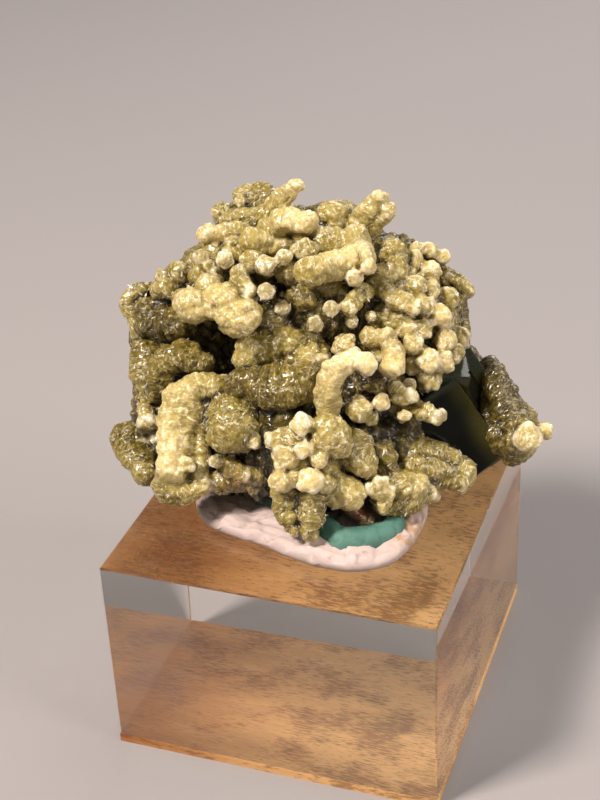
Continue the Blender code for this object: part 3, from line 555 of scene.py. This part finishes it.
# Fingers out of sight from the front, in millimetres from the origin: tone, tip, then x, y, z, radius
backFingers = [
    (0.55, 0.2, (-10, 4.5, 41, 2.6), (-9, 9, 41.5, 1.8), (-8, 11.6, 40, 1.3)),
    (0.6, 0.3, (-3.5, 10, 43, 2.2), (-3, 12.8, 41.6, 1.8), (-2.6, 14.2, 39.4, 1.4),
     (-2.8, 14.6, 37.2, 1.1)), (0.65, 0.2, (2, 11.5, 41.8, 2), (3, 14, 40.2, 1.6), (3.8, 15.2, 38.2, 1.2)),
    (0.5, 0.2, (5.4, 9.5, 40, 2), (6.4, 12, 38.4, 1.6), (7, 13.4, 36.4, 1.3)),
    (0.4, 0.2, (-14, 5, 35, 2.8), (-14.6, 8.4, 33, 2), (-13.6, 10.8, 30.6, 1.5), (-12.4, 12, 28.4, 1.1)),
    (0.35, 0.2, (-12, 3, 28.5, 3), (-12, 6.5, 26.8, 2.2), (-10.6, 9.2, 25.6, 1.5)),
    (0.55, 0.4, (-6, 11.5, 40.5, 1.5), (-5.4, 13.2, 39, 1.1)),
    (0.55, 0.4, (0.4, 13, 40.6, 1.5), (0.7, 14.8, 39.2, 1.1)),
    (0.45, 0.3, (-15.6, 6.4, 30.6, 1.6), (-16.4, 8.4, 29.2, 1.1)),
]
knobs = {"seed": 11, "tries": 2600, "spacing": 2.1, "radii": (0.9, 1.5), "facing": -0.40, "lowest": 23.5}


def micaFinish():
    # Tone by attribute; painted shade darkens the hollows and creases, painted highlight pales the crests,
    # the edges of the stacked plates are paler, and tilted facets for the sparkle
    finish = Finish("greenMica", IOR=1.56, Coat_Roughness=0.09, Subsurface_Weight=0.5,
                    Subsurface_Radius=(1.0, 0.85, 0.45), Subsurface_Scale=0.0012,
                    Sheen_Weight=0.32, Sheen_Roughness=0.22, Sheen_Tint=tint(246, 230, 178))
    words = ("tone", "pale", "crest", "hollow", "stain", "along")
    tone, pale, crest, hollow, stain, along = (finish.attribute(word) for word in words)
    cloud = finish.noise(420.0, 4.0)
    grain = finish.noise(2600.0, 3.0, 0.65)
    wander = finish.noise(800.0, 3.0, 0.6)
    layers = (along * 3.0 + wander * 3.6).fract()
    edge = finish.between(layers, 0.72, 0.98)
    share = tone * 0.92 + (cloud - 0.5) * 0.40 + (grain - 0.5) * 0.25
    # Painted shade: hollow darkens the tone in hollows and creases; crest lifts it on crests
    share = share + crest * 0.12 + layers * 0.10 - hollow * 0.75
    stops = [(0.0, tint(36, 28, 1)), (0.16, tint(84, 70, 6)), (0.32, tint(130, 114, 42)),
             (0.5, tint(160, 144, 74)), (0.75, tint(202, 184, 122)), (1.0, tint(234, 217, 164))]
    body = finish.ramp(share.bounded(), stops)
    lit = finish.between(tone, 0.1, 0.6)
    strokes = edge * finish.between(grain, 0.38, 0.58)
    # Painted highlight: crest pales the convex crests toward the shine colour; pale adds the white of bud
    # tips and the painted glints of flakes, strokes the paler plate edges
    rim = pale * 0.80 + (crest - 0.15) * (lit * 0.6 + 0.2)
    rim = rim + strokes * (lit * 0.50 + 0.32) + (grain - 0.5) * 0.5 * pale
    shine = finish.mixed(lit, tint(236, 228, 190), tint(252, 243, 226))
    body = finish.mixed(rim.bounded(), body, shine)
    body = finish.mixed(stain, body, tint(112, 58, 26))
    sparkle = finish.facets(4600.0)
    plates = finish.facets(1900.0)
    rough = 1.25 - tone * 0.8
    height = (plates * 0.42 + sparkle * 0.55) * rough + layers * 0.00010 + (grain - 0.5) * 0.00004
    normal = finish.bump(height, 0.85)
    gloss = 0.42 - finish.between(grain, 0.45, 0.7) * 0.26
    return finish.shade(Base_Color=body, Roughness=gloss, Normal=normal, Coat_Weight=0.50 - tone * 0.15)


def spreadTones(fingers, back=False):
    # Every finger as points close together: x, y, z, radius, tone, paleness of the tip, way from the root
    rows = []
    for tone, tip, *stations in fingers:
        line = np.array(stations, float) if back else sightedStations(stations)
        share = np.linspace(0, 1, 18)
        spots = resampled(line, np.arange(len(line)), share * (len(line) - 1))
        rows.append(np.column_stack([spots, tone * (0.55 + 0.45 * share), tip * share ** 3,
                                     travelled(spots[:, :3])]))
    return np.concatenate(rows)


def tonesAt(points, spots):
    # Mean of the fingers' tones, each weighted by exp(-gap / 0.3) where gap is the distance to its skin
    values = np.zeros((len(points), 3))
    for start in range(0, len(points), 8000):
        some = points[start:start + 8000]
        gap = np.sqrt(((some[:, None] - spots[None, :, :3]) ** 2).sum(2)) - spots[:, 3]
        weight = np.exp(-np.clip(gap - gap.min(1, keepdims=True), 0, 6) / 0.3)
        weight /= weight.sum(1, keepdims=True)
        values[start:start + 8000] = weight @ spots[:, 4:]
    return values.T


def relief(points, normals, tone):
    # Height along the normal, at places bent by sines: rounded lumps, then scales, which are low domes
    # that lean their own way
    lift = np.zeros(len(points))
    reach, pitch = micaSizes["bend"]
    points = points + reach * np.sin(points[:, [1, 2, 0]] * pitch + 1.3)
    for word, seed in (("lump", 3), ("bulge", 4), ("bead", 6)):
        size, height = micaSizes[word]
        gap, numbers, border = cells(points, size, seed)
        lift += height * (0.4 + 0.6 * numbers[:, 0]) * (0.8 - 3.0 * (gap ** 2).sum(1) / size ** 2)
    rough = 1.05 - 0.2 * tone
    for word, seed in (("plate", 5), ("scale", 9)):
        size, tilt, dome = micaSizes[word]
        gap, numbers, border = cells(points, size, seed)
        lean = (numbers - 0.5) * 2
        lean -= normals * (lean * normals).sum(1)[:, None]
        rise = dome * (1 - 3.0 * (gap ** 2).sum(1) / size ** 2)
        lift += rough * (tilt * 0.5 * (gap * lean).sum(1) + rise)
    return lift


def stainAt(points):
    # Rusty patches: strength times exp(-(distance / reach)^2), the strongest one counts
    stain = np.zeros(len(points))
    for place, reach, strength in micaSizes["stains"]:
        distance = np.linalg.norm(points - sighted(*place), axis=1)
        stain = np.maximum(stain, strength * np.exp(-(distance / reach) ** 2))
    return stain


def hiddenKnobs(core):
    # A knob sits where a random line from a core point leaves the core, if no other knob is too close
    chance = np.random.default_rng(knobs["seed"])
    found = []
    for attempt in range(knobs["tries"]):
        start = core[chance.integers(len(core))]
        aim = unit(chance.normal(size=3))
        radius = chance.uniform(*knobs["radii"])
        spot = start[:3] + aim * start[3]
        covered = (np.linalg.norm(core[:, :3] - spot, axis=1) < core[:, 3] * 0.98).any()
        crowded = any(np.linalg.norm(spot - other[1, :3]) < knobs["spacing"] for other in found)
        if aim @ axes[:, 2] < knobs["facing"] and spot[2] > knobs["lowest"] and not (covered or crowded):
            found.append(np.array([[*(spot - aim * radius), radius * 0.9], [*spot, radius]]))
    return found


def bud(chance, centre, facing, radius):
    # Flattened bud: ring point = c + R(a) rho (cos a . u + sin a . v) + h . facing, by a profile of rho, h
    profile = np.array([(0.45, -0.85), (0.76, -0.62), (0.95, -0.32), (1.03, -0.02), (1.00, 0.22),
                        (0.89, 0.43), (0.69, 0.57), (0.44, 0.65), (0.21, 0.68)])
    turn = np.linspace(0, 2 * np.pi, 24, endpoint=False)
    waves = 0
    for order in (2, 3, 4, 5):
        waves = waves + chance.normal() * 0.05 * np.cos(order * turn + chance.uniform(0, 6.3))
    outline = radius * (1 + 0.02 * np.cos(6 * turn + chance.uniform(0, 6.3)) + waves)
    across, aside = crossFrame(facing[None])
    ring = across * np.cos(turn)[:, None] + aside * np.sin(turn)[:, None]
    points = centre + profile[:, None, :1] * outline[None, :, None] * ring[None]
    points = points + (profile[:, 1] * radius)[:, None, None] * facing
    poles = [centre - facing * radius * 0.9, centre + facing * radius * 0.69]
    return np.concatenate([poles[:1], points.reshape(-1, 3), poles[1:]]), wrapFaces(len(profile), 24)


def whiteness(points, buds):
    # White of a bud = tip (0.16 tip + rim + middle), with rho the distance from its axis over its radius;
    # calm is how much of a bud a point is, as buds have less relief
    white, calm = np.zeros(len(points)), np.zeros(len(points))
    for centre, facing, radius, tip in buds:
        away = points - centre
        rise = away @ facing / radius
        rho = np.linalg.norm(away - np.outer(away @ facing, facing), axis=1) / radius
        amount = 0.16 * tip + 0.85 * np.exp(-((rho - 0.98) / 0.13) ** 2) + 0.25 * np.exp(-(rho / 0.25) ** 2)
        amount *= tip * np.clip(0.8 + rise, 0, 1)
        near = (rho < 1.4) & (rise < 1.5)
        white = np.maximum(white, np.where(near, amount, 0))
        calm = np.maximum(calm, near * tip * np.clip(1 + rise, 0, 1))
    return white, calm


def micaRegion(name, fingers, material, back=False):
    chance = np.random.default_rng(len(name) + 40)
    rods, buds = [], []
    for tone, tip, *stations in fingers:
        line = np.array(stations, float) if back else sightedStations(stations)
        if line[-1, 3] <= micaSizes["bud"] and tip >= 0.25:
            radius = line[-1, 3]
            facing = unit(unit(line[-1, :3] - line[-2, :3]) + chance.normal(size=3) * 0.2)
            line[-1, 3] *= 0.9
            buds.append((line[-1, :3] + facing * radius * 0.4, facing, radius, tip))
            rods.append(bud(chance, *buds[-1][:3]))
        ribs = micaSizes["rib"], micaSizes["ribStep"], chance.uniform(0, 3)
        rods.append(rod(line, micaSizes["spacing"], micaSizes["around"], *ribs))
    if back:
        others = crownLeft + crownMiddle + crownRight + middleFingers + leftFingers + rightFingers
        thick = [finger for finger in others if max(station[3] for station in finger[2:]) > 3.0]
        for line in hiddenKnobs(spreadTones(thick)):
            rods.append(rod(line, micaSizes["spacing"], micaSizes["around"]))
    points, normals, faces, edges = fused(name, rods, micaSizes["voxel"])
    tone, pale, along = tonesAt(points, spreadTones(fingers, back))
    white, calm = whiteness(points, buds)
    pale = np.maximum(pale * 0.3, white)
    # Painted shade: hollow is how far the skin lies below its broad smoothed shape, and it darkens the tone
    # there
    broad = np.stack([averaged(points[:, axis], edges, 30) for axis in range(3)], 1)
    hollow = np.clip(((broad - points) * normals).sum(1) / micaSizes["crease"], 0, 1)
    points = points + normals * (relief(points, normals, tone) * (1 - 0.5 * calm))[:, None]
    points[:, 2] = np.maximum(points[:, 2], foot)
    # Painted highlight: how convex the skin is, used to pale the crests in the shader
    crest = averaged(convexity(points, normals, edges), edges, 1)
    crest = np.clip(crest / micaSizes["crest"], -1, 1)
    values = {"tone": tone, "pale": pale, "crest": crest, "hollow": hollow, "along": along}
    values["stain"] = stainAt(points)
    newPiece(name, points, faces, material, "mica_crust", values=values)
    return points, normals, tone, pale


def flakes(name, skins, material):
    # Thin six-sided plates laid on the skin where its tone is near the wanted one, each with its own tilt,
    # and
    # most of them painted white as glints: corner = c + r (cos a . u + shape sin a . v) +- t/2 . n
    count, seed, wanted, spread = micaSizes[name]
    chance = np.random.default_rng(seed)
    points, normals, tone, pale = (np.concatenate([skin[part] for skin in skins]) for part in range(4))
    likely = np.exp(-((tone - wanted) / spread) ** 2) + 0.03
    picks = chance.choice(len(points), count, replace=False, p=likely / likely.sum())
    points, normals, tone, pale = points[picks], normals[picks], tone[picks], pale[picks]
    dark = np.clip((0.5 - tone) / 0.3, 0, 1)
    facing = unit(normals + chance.normal(size=normals.shape) * (0.26 + 0.26 * dark)[:, None])
    radius = chance.uniform(*micaSizes["flakeRadius"], count)
    across = unit(np.cross(facing, chance.normal(size=facing.shape)))
    aside = np.cross(facing, across)
    turn = np.arange(6) * np.pi / 3
    reach = radius[:, None, None] * chance.uniform(0.85, 1.15, (count, 6, 1))
    aside = aside * micaSizes["flakeShape"]
    ring = reach * (across[:, None] * np.cos(turn)[:, None] + aside[:, None] * np.sin(turn)[:, None])
    centre = (points + normals * 0.015)[:, None]
    half = (facing * micaSizes["flakeThickness"] / 2)[:, None]
    corners = np.concatenate([centre + ring + half, centre + ring - half], 1).reshape(-1, 3)
    here = np.arange(6)
    beside = (here + 1) % 6
    top = np.array([[0, 1, 2], [0, 2, 3], [0, 3, 4], [0, 4, 5]])
    plate = np.concatenate([np.stack([here + 6, beside + 6, beside], 1),
                            np.stack([here + 6, beside, here], 1), top, top[:, ::-1] + 6])
    faces = (plate[None] + 12 * np.arange(count)[:, None, None]).reshape(-1, 3)
    # Painted glints: six in ten flakes get a near-white pale value
    paintedGlint = 0.95 * (chance.uniform(size=count) < 0.6) + pale * 0.1
    bright = np.clip(tone + chance.normal(size=count) * 0.12, 0, 1)
    values = dict.fromkeys(("crest", "hollow", "along"), np.zeros(count * 12))
    values.update(tone=np.repeat(bright, 12), pale=np.repeat(paintedGlint, 12), stain=stainAt(corners))
    newPiece(name, corners, faces, material, "mica_crust", smooth=False, values=values)


print("Mica: fingers, tips and flakes")
mica = micaFinish()
regions = dict(crownLeftFingers=crownLeft, crownMiddleFingers=crownMiddle, crownRightFingers=crownRight,
               middleFingers=middleFingers, lowerFingers=lowerFingers, leftFingers=leftFingers,
               rightFingers=rightFingers)
skins = [micaRegion(name, fingers, mica) for name, fingers in regions.items()]
backSkin = micaRegion("backFingers", backFingers, mica, back=True)
flakes("roughFlakes", skins, mica)
flakes("backFlakes", [backSkin], mica)


# Fluorite: intergrown cubes. Front ones are face centre right, up, near; size along, across, inward; turn
# and tip. Back ones are centre, edges, turns about X, Y and Z
crystals = {
    "chamfer": 0.15,
    "bands": [(0.86, 0.51, 11.6, 13.8), (-0.45, 0.89, -5.8, -5.0)],    # right, up, start and end
    "front": [
        ((15.5, -3.5, 8.0), (9.2, 6.2, 9.0), -54.0, 12.0),
        ((16.4, -1.8, 5.8), (11.0, 8.8, 9.0), -54.0, 8.0),
    ],
    "back": [
        ((5.4, 9.4, 28.6), (10.5, 9.0, 11.0), (12.0, 9.0, 24.0)),
        ((-4.8, 8.6, 29.0), (9.6, 9.6, 10.0), (-8.0, 14.0, -18.0)),
        ((1.0, 10.4, 35.2), (8.4, 7.6, 8.0), (20.0, -14.0, 36.0)),
    ],
    "groove": ((18.9, -1.0, 6.4), (9.0, 1.1, 2.6), -57.0, 10.0),
    "grooveChamfer": 0.06,
    "tint": (120, 128, 84),
    "density": 900.0,
}


def turned(aboutX, aboutY, aboutZ):
    # Turns in degrees about X first, then Y, then Z
    x, y, z = (math.radians(angle) for angle in (aboutX, aboutY, aboutZ))
    turnX = np.array([[1, 0, 0], [0, math.cos(x), -math.sin(x)], [0, math.sin(x), math.cos(x)]])
    turnY = np.array([[math.cos(y), 0, math.sin(y)], [0, 1, 0], [-math.sin(y), 0, math.cos(y)]])
    turnZ = np.array([[math.cos(z), -math.sin(z), 0], [math.sin(z), math.cos(z), 0], [0, 0, 1]])
    return turnZ @ turnY @ turnX


def chamferedBlock(centre, size, matrix, chamfer):
    # An eight-cornered outline, a square with cut corners, carried along the block and drawn in at the ends
    wide, deep, high = np.array(size) / 2
    points = [(0, 0, -high)]
    for height, inset in ((-high, chamfer), (-high + chamfer, 0), (high - chamfer, 0), (high, chamfer)):
        x, y = wide - inset, deep - inset
        outline = [(x, -y + chamfer), (x, y - chamfer), (x - chamfer, y), (-x + chamfer, y)]
        outline += [(-a, -b) for a, b in outline]
        points += [(a, b, height) for a, b in outline]
    points.append((0, 0, high))
    return np.array(points) @ np.array(matrix).T + np.array(centre), wrapFaces(4, 8)


def combined(first, others, operation):
    # Solids added to or cut from the first one, as arrays
    for other in others:
        step = first.modifiers.new(operation.lower(), "BOOLEAN")
        step.operation = operation
        step.object = other
    points, normals, faces, edges = evaluated(first)
    for other in others:
        bpy.data.objects.remove(other)
    return points, faces


def fluoriteFinish():
    # Dark green glass: clear surface, a little milky body, colour by absorption inside, faint growth steps.
    # Each band starts along a direction in the view: an olive one, and a paler grey-green one that is
    # painted light on a face
    finish = Finish("greenFluorite", Transmission_Weight=0.78, IOR=1.434, Specular_IOR_Level=0.3)
    cloud = finish.noise(260.0, 2.0)
    steps = finish.noise(500.0, 1.0)
    normal = finish.bump(steps, 0.05, 0.0002)
    wavy = (cloud - 0.5) * 0.0012
    shares = []
    for right, up, low, high in crystals["bands"]:
        direction = axes[:, 0] * right + axes[:, 1] * up
        across = finish.vector("DOT_PRODUCT", finish.where, direction.tolist(), "Value")
        start = float(direction @ np.array(sight["centre"]))
        shares.append(finish.between(across + wavy, (start + low) * mm, (start + high) * mm))
    body = finish.mixed(finish.between(cloud, 0.3, 0.7), tint(34, 40, 28), tint(14, 18, 11))
    body = finish.mixed(shares[0], body, tint(112, 106, 48))
    # Painted light: the paler grey-green band stands in for lighter shading across one face
    body = finish.mixed(shares[1], body, tint(104, 114, 92))
    inside = finish.tree.nodes.new("ShaderNodeVolumeAbsorption")
    inside.inputs["Color"].default_value = tint(*crystals["tint"])
    inside.inputs["Density"].default_value = crystals["density"]
    finish.tree.links.new(inside.outputs[0], finish.tree.nodes["Material Output"].inputs["Volume"])
    return finish.shade(Base_Color=body, Roughness=0.10 + 0.05 * cloud, Normal=normal)


def makeFluorite(material):
    solids = []
    for face, size, turn, tip in crystals["front"]:
        matrix = axes @ turned(0.0, tip, turn)
        solids.append((sighted(*face) - matrix[:, 2] * size[2] / 2, size, matrix))
    for centre, size, turns in crystals["back"]:
        solids.append((np.array(centre), size, turned(*turns)))
    blocks = [plainObject("crystal", *chamferedBlock(*solid, crystals["chamfer"])) for solid in solids]
    grown = plainObject("crystals", *combined(blocks[0], blocks[1:], "UNION"))
    face, size, turn, tip = crystals["groove"]
    matrix = axes @ turned(0.0, tip, turn)
    cutter = plainObject("groove", *chamferedBlock(sighted(*face), size, matrix, crystals["grooveChamfer"]))
    ground = plainObject("ground", *chamferedBlock((0, 0, foot / 2), (90, 90, foot), np.eye(3), 0.1))
    points, faces = combined(grown, [cutter, ground], "DIFFERENCE")
    newPiece("fluoriteCrystals", points, faces, material, "fluorite_crystals",
             smooth=False)


print("Fluorite: intergrown crystals")
makeFluorite(fluoriteFinish())


# Display block: clear acrylic over a thin sheet of wood
block = {
    "width": 31.94,
    "depth": 33.94,
    "top": 21.0,
    "bottom": 0.4,    # its foot stands in the glued wood
    "bevel": 0.14,
}


def acrylicFinish():
    # Clear and polished, with a faint haze of fingerprints
    finish = Finish("clearAcrylic", Transmission_Weight=1.0, IOR=1.49)
    haze = finish.noise(180.0, 3.0)
    body = finish.mixed(haze, tint(250, 250, 248), tint(244, 244, 240))
    normal = finish.bump(finish.noise(90.0, 2.0), 0.05, 0.0003)
    gloss = finish.between(haze, 0.5, 0.8) * 0.05 + 0.004
    return finish.shade(Base_Color=body, Roughness=gloss, Normal=normal)


def woodFinish():
    # Warm brown wood with grain along X, painted shade towards -X and painted light towards +X: stretched
    # noise for streaks, and short dark flecks gathered in patches
    finish = Finish("woodSheet")
    grainway = finish.add("ShaderNodeMapping", {}, {"Vector": finish.where, "Scale": (0.26, 1.0, 1.0)})
    broad = finish.noise(420.0, 4.0, 0.6, 0.4, grainway)
    fine = finish.noise(2400.0, 4.0, 0.7, where=grainway)
    patch = finish.noise(160.0, 3.0)
    specks = finish.noise(3400.0, 3.0, 0.65, where=grainway)
    flecks = finish.between(specks + patch * 0.65, 0.80, 0.98)
    stops = [(0.32, tint(166, 100, 48)), (0.5, tint(216, 150, 86)), (0.68, tint(244, 194, 134))]
    body = finish.ramp(broad * 0.5 + fine * 0.3 + patch * 0.2, stops)
    across = finish.add("ShaderNodeSeparateXYZ", {}, {0: finish.where}, "X")
    # Painted light and shade: the sheet's colour is darker towards -X and brighter towards +X
    paintedShadeSide = finish.mixed(0.5, body, tint(112, 64, 22))
    bright = finish.mixed(0.70, body, tint(255, 212, 150))
    body = finish.mixed(finish.between(across, -0.018, 0.014), paintedShadeSide, bright)
    body = finish.mixed(finish.between(patch, 0.42, 0.66) * 0.32, body, tint(150, 86, 40))
    body = finish.mixed(flecks * 0.55, body, tint(96, 50, 22))
    normal = finish.bump(fine, 0.3, 0.00005)
    return finish.shade(Base_Color=body, Roughness=0.42 + fine * 0.15, Normal=normal)


print("Block: clear acrylic and wood")
height = block["top"] - block["bottom"]
size = (block["width"], block["depth"], height)
points, faces = chamferedBlock((0, 0, block["bottom"] + height / 2), size, np.eye(3), block["bevel"])
newPiece("acrylicBlock", points, faces, acrylicFinish(), "acrylic_block", smooth=False)
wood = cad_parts["wood_sheet"]
wood.data.materials.clear()
wood.data.materials.append(woodFinish())


# Putty: the pressed white pad and the older teal one
whitePad = {
    "outline": [(-9.9, -5.5), (-8.2, -8.0), (-5.0, -8.9), (-2.2, -9.2), (0.8, -10.4), (3.8, -11.1),
                (6.8, -11.0), (9.2, -9.2), (10.1, -6.0), (10.0, -2.0), (8.6, 2.4), (4.6, 5.6),
                (-1.0, 6.4), (-6.4, 4.8), (-9.8, 0.6)],
    "margin": 1.1,
    "bottom": 21.02,
    "top": 22.9,
    "rim": 23.08,
    "limit": 23.1,
    "dents": (2.6, 0.42, 0.26),    # cell size, tilt of the dents, depth of the creases between them
    "cracks": (1.1, 0.10),
    "wrinkles": [(0.90, 0.4), (0.80, 2.0)],    # share of the way to the rim, and phase
    "wrinkleDepth": 0.22,
    "around": 220,
    "rust": ((10.2, -5.8, 22.9), 3.4),    # place and reach of the brown dirt
}
tealPad = {
    "stations": [(-5.6, -4.4, 22.6, 0.9), (-3.6, -4.6, 22.6, 1.2), (0.0, -5.6, 22.5, 1.3),
                 (3.4, -8.0, 22.6, 1.3), (4.6, -9.2, 22.7, 1.25), (6.8, -8.4, 22.7, 1.3),
                 (9.0, -6.6, 22.7, 1.2), (8.4, -4.6, 22.6, 1.2)],
    "dents": (1.7, 0.22, 0.12),
    "heights": (21.05, 24.0),
    "spacing": 0.3,
    "around": 24,
    "voxel": 0.22,
}


def puttyFinish(name, light, dark, smudge, rust=None):
    # Matte putty: soft clouds of colour, grey dirt in noise patches, a rusty patch, fine pits
    finish = Finish(name, Subsurface_Weight=0.15, Subsurface_Scale=0.0008,
                    Subsurface_Radius=(1.0, 0.8, 0.7))
    cloud = finish.noise(260.0, 4.0)
    dirt = finish.between(finish.noise(620.0, 4.0, 0.65), 0.56, 0.72)
    body = finish.mixed(cloud, dark, light)
    body = finish.mixed(dirt * 0.45, body, smudge)
    fine = finish.noise(1500.0, 4.0)
    if rust:
        spot, reach = np.array(rust[0]) * mm, rust[1] * mm
        away = finish.vector("DISTANCE", finish.where, spot.tolist(), "Value") + (cloud - 0.5) * 0.004
        patch = finish.between(away, reach, reach * 0.3) * finish.between(fine, 0.36, 0.56)
        body = finish.mixed(patch * 0.7, body, tint(176, 136, 92))
    normal = finish.bump(fine, 0.5, 0.00012)
    return finish.shade(Base_Color=body, Roughness=0.55 + cloud * 0.2, Normal=normal)


def smoothLoop(corners, count):
    # A closed loop through the corners, rounded by averaging neighbours
    loop = np.array(corners + corners[:1], float)
    along = travelled(loop)
    loop = resampled(loop, along, np.linspace(0, along[-1], count, endpoint=False))
    for turn in range(10):
        loop = (np.roll(loop, 1, 0) + 2 * loop + np.roll(loop, -1, 0)) / 4
    return loop


def makeWhitePad(material):
    # Point = middle + rho (outline(a) - middle), its height from a profile with a rolled rim, less pressed
    # dents, cracks, and wrinkles that follow the rim
    around = whitePad["around"]
    loop = smoothLoop(whitePad["outline"], around)
    middle = loop.mean(0)
    reach = np.linalg.norm(loop - middle, axis=1, keepdims=True)
    loop = middle + (loop - middle) * (1 + whitePad["margin"] / reach)
    low, top, rim = whitePad["bottom"], whitePad["top"], whitePad["rim"]
    turn = np.linspace(0, np.pi, 16)[1:-1]
    rolled = 0.88 + 0.12 * np.sin(turn)
    rho = np.concatenate([np.linspace(0.05, 0.88, 8), rolled, np.linspace(0.88, 0.05, 24)])
    level = np.concatenate([np.full(8, low), low + (rim - low) * (1 - np.cos(turn)) / 2,
                            top + (rim - top) * np.linspace(1, 0, 24) ** 3])
    flat = middle + rho[:, None, None] * (loop - middle)[None]
    points = np.concatenate([flat, np.broadcast_to(level[:, None, None], (len(rho), around, 1))], 2)
    shape = points.shape
    points = np.concatenate([[[*middle, low]], points.reshape(-1, 3), [[*middle, top]]])
    upper = np.clip((points[:, 2] - low) / (rim - low), 0, 1)
    size, tilt, crease = whitePad["dents"]
    gap, numbers, border = cells(points, size, 31)
    lean = (numbers - 0.5)[:, :2]
    points[:, 2] += upper * (tilt * (gap[:, :2] * lean).sum(1) - crease * np.exp(-border / 0.22) - 0.05)
    size, crease = whitePad["cracks"]
    gap, numbers, border = cells(points, size, 33)
    points[:, 2] -= upper * crease * np.exp(-border / 0.10)
    turns = np.tile(np.linspace(0, 2 * np.pi, around, endpoint=False), shape[0])
    turns = np.concatenate([[0], turns, [0]])
    share = np.concatenate([[0], np.repeat(rho, around), [0]])
    for ring, wave in whitePad["wrinkles"]:
        away = (share - ring - 0.03 * np.sin(3 * turns + wave)) / 0.018
        points[:, 2] -= upper * whitePad["wrinkleDepth"] * np.exp(-away ** 2)
    points[:, 2] = np.clip(points[:, 2], low, whitePad["limit"])
    newPiece("whitePutty", points, wrapFaces(shape[0], around), material, "white_putty")


def makeTealPad(material):
    # A rod pressed flat, its skin moved along the normal by leaning dents and the creases between them
    line = np.array(tealPad["stations"], float)
    skin = rod(line, tealPad["spacing"], tealPad["around"])
    points, normals, faces, edges = fused("teal", [skin], tealPad["voxel"])
    size, tilt, crease = tealPad["dents"]
    gap, numbers, border = cells(points, size, 41)
    lift = tilt * (gap * (numbers - 0.5)).sum(1) - crease * np.exp(-border / 0.2)
    points = points + normals * lift[:, None]
    points[:, 2] = np.clip(points[:, 2], *tealPad["heights"])
    newPiece("tealPutty", points, faces, material, "teal_putty")


print("Putty: white and teal pads")
whiteTints = tint(212, 195, 192), tint(184, 166, 165), tint(112, 92, 78)
makeWhitePad(puttyFinish("whitePutty", *whiteTints, whitePad["rust"]))
makeTealPad(puttyFinish("tealPutty", tint(94, 140, 128), tint(56, 100, 92), tint(142, 152, 140)))


# Studio: floor, lights, camera
studio = {
    "floor": 1.2,
    "floorColour": (152, 149, 152),
    "world": 0.22,
    "worldColour": (1.0, 0.90, 0.80),
    "key": ((-0.16, -0.20, 0.37), 0.09, 2.8, (1.0, 0.88, 0.76)),    # place, size, watts, colour
    "fill": ((0.42, -0.04, 0.30), 0.26, 1.6, (1.0, 0.90, 0.80)),
    "back": ((0.05, 0.36, 0.30), 0.26, 1.0, (1.0, 0.94, 0.90)),
}


def floorFinish():
    finish = Finish("paleFloor")
    cloud = finish.noise(6.0, 3.0)
    red, green, blue = studio["floorColour"]
    body = finish.mixed(cloud, tint(red, green, blue), tint(red - 6, green - 6, blue - 6))
    return finish.shade(Base_Color=body, Roughness=0.8 + cloud * 0.1)


def makeStudio():
    half = studio["floor"] / mm / 2
    corners = np.array([(-1, -1, 0), (1, -1, 0), (1, 1, 0), (-1, 1, 0)]) * half
    floor = plainObject("floor", corners, np.array([[0, 1, 2, 3]]))
    floor.data.materials.append(floorFinish())
    world = bpy.data.worlds.new("studio")
    bpy.context.scene.world = world
    world.use_nodes = True
    sky = world.node_tree.nodes["Background"].inputs
    sky["Color"].default_value = (*studio["worldColour"], 1.0)
    sky["Strength"].default_value = studio["world"]
    target = np.array(sight["centre"]) * mm
    for word in ("key", "fill", "back"):
        place, size, watts, colour = studio[word]
        lamp = bpy.data.lights.new(word, "AREA")
        lamp.shape = "SQUARE"
        lamp.size = size
        lamp.energy = watts
        lamp.color = colour
        item = linked(word, lamp)
        aim = unit(target - np.array(place))
        side = unit(np.cross(aim, (0, 0, 1)))
        item.matrix_world = asMatrix(side, np.cross(side, aim), -aim, place)


def asMatrix(right, up, back, place):
    rows = np.eye(4)
    rows[:3, 0], rows[:3, 1], rows[:3, 2], rows[:3, 3] = right, up, back, place
    return Matrix(rows.tolist())


def makeCamera():
    lens = bpy.data.cameras.new("photoView")
    lens.lens = sight["lens"]
    lens.sensor_width = sight["sensor"]
    lens.clip_start = 0.005
    camera = linked("photoView", lens)
    camera.matrix_world = asMatrix(axes[:, 0], axes[:, 1], axes[:, 2], eye * mm)
    bpy.context.scene.camera = camera


print("Studio: floor, lights and camera")
makeStudio()
makeCamera()
bpy.context.scene.view_settings.view_transform = "Standard"

print("Done")
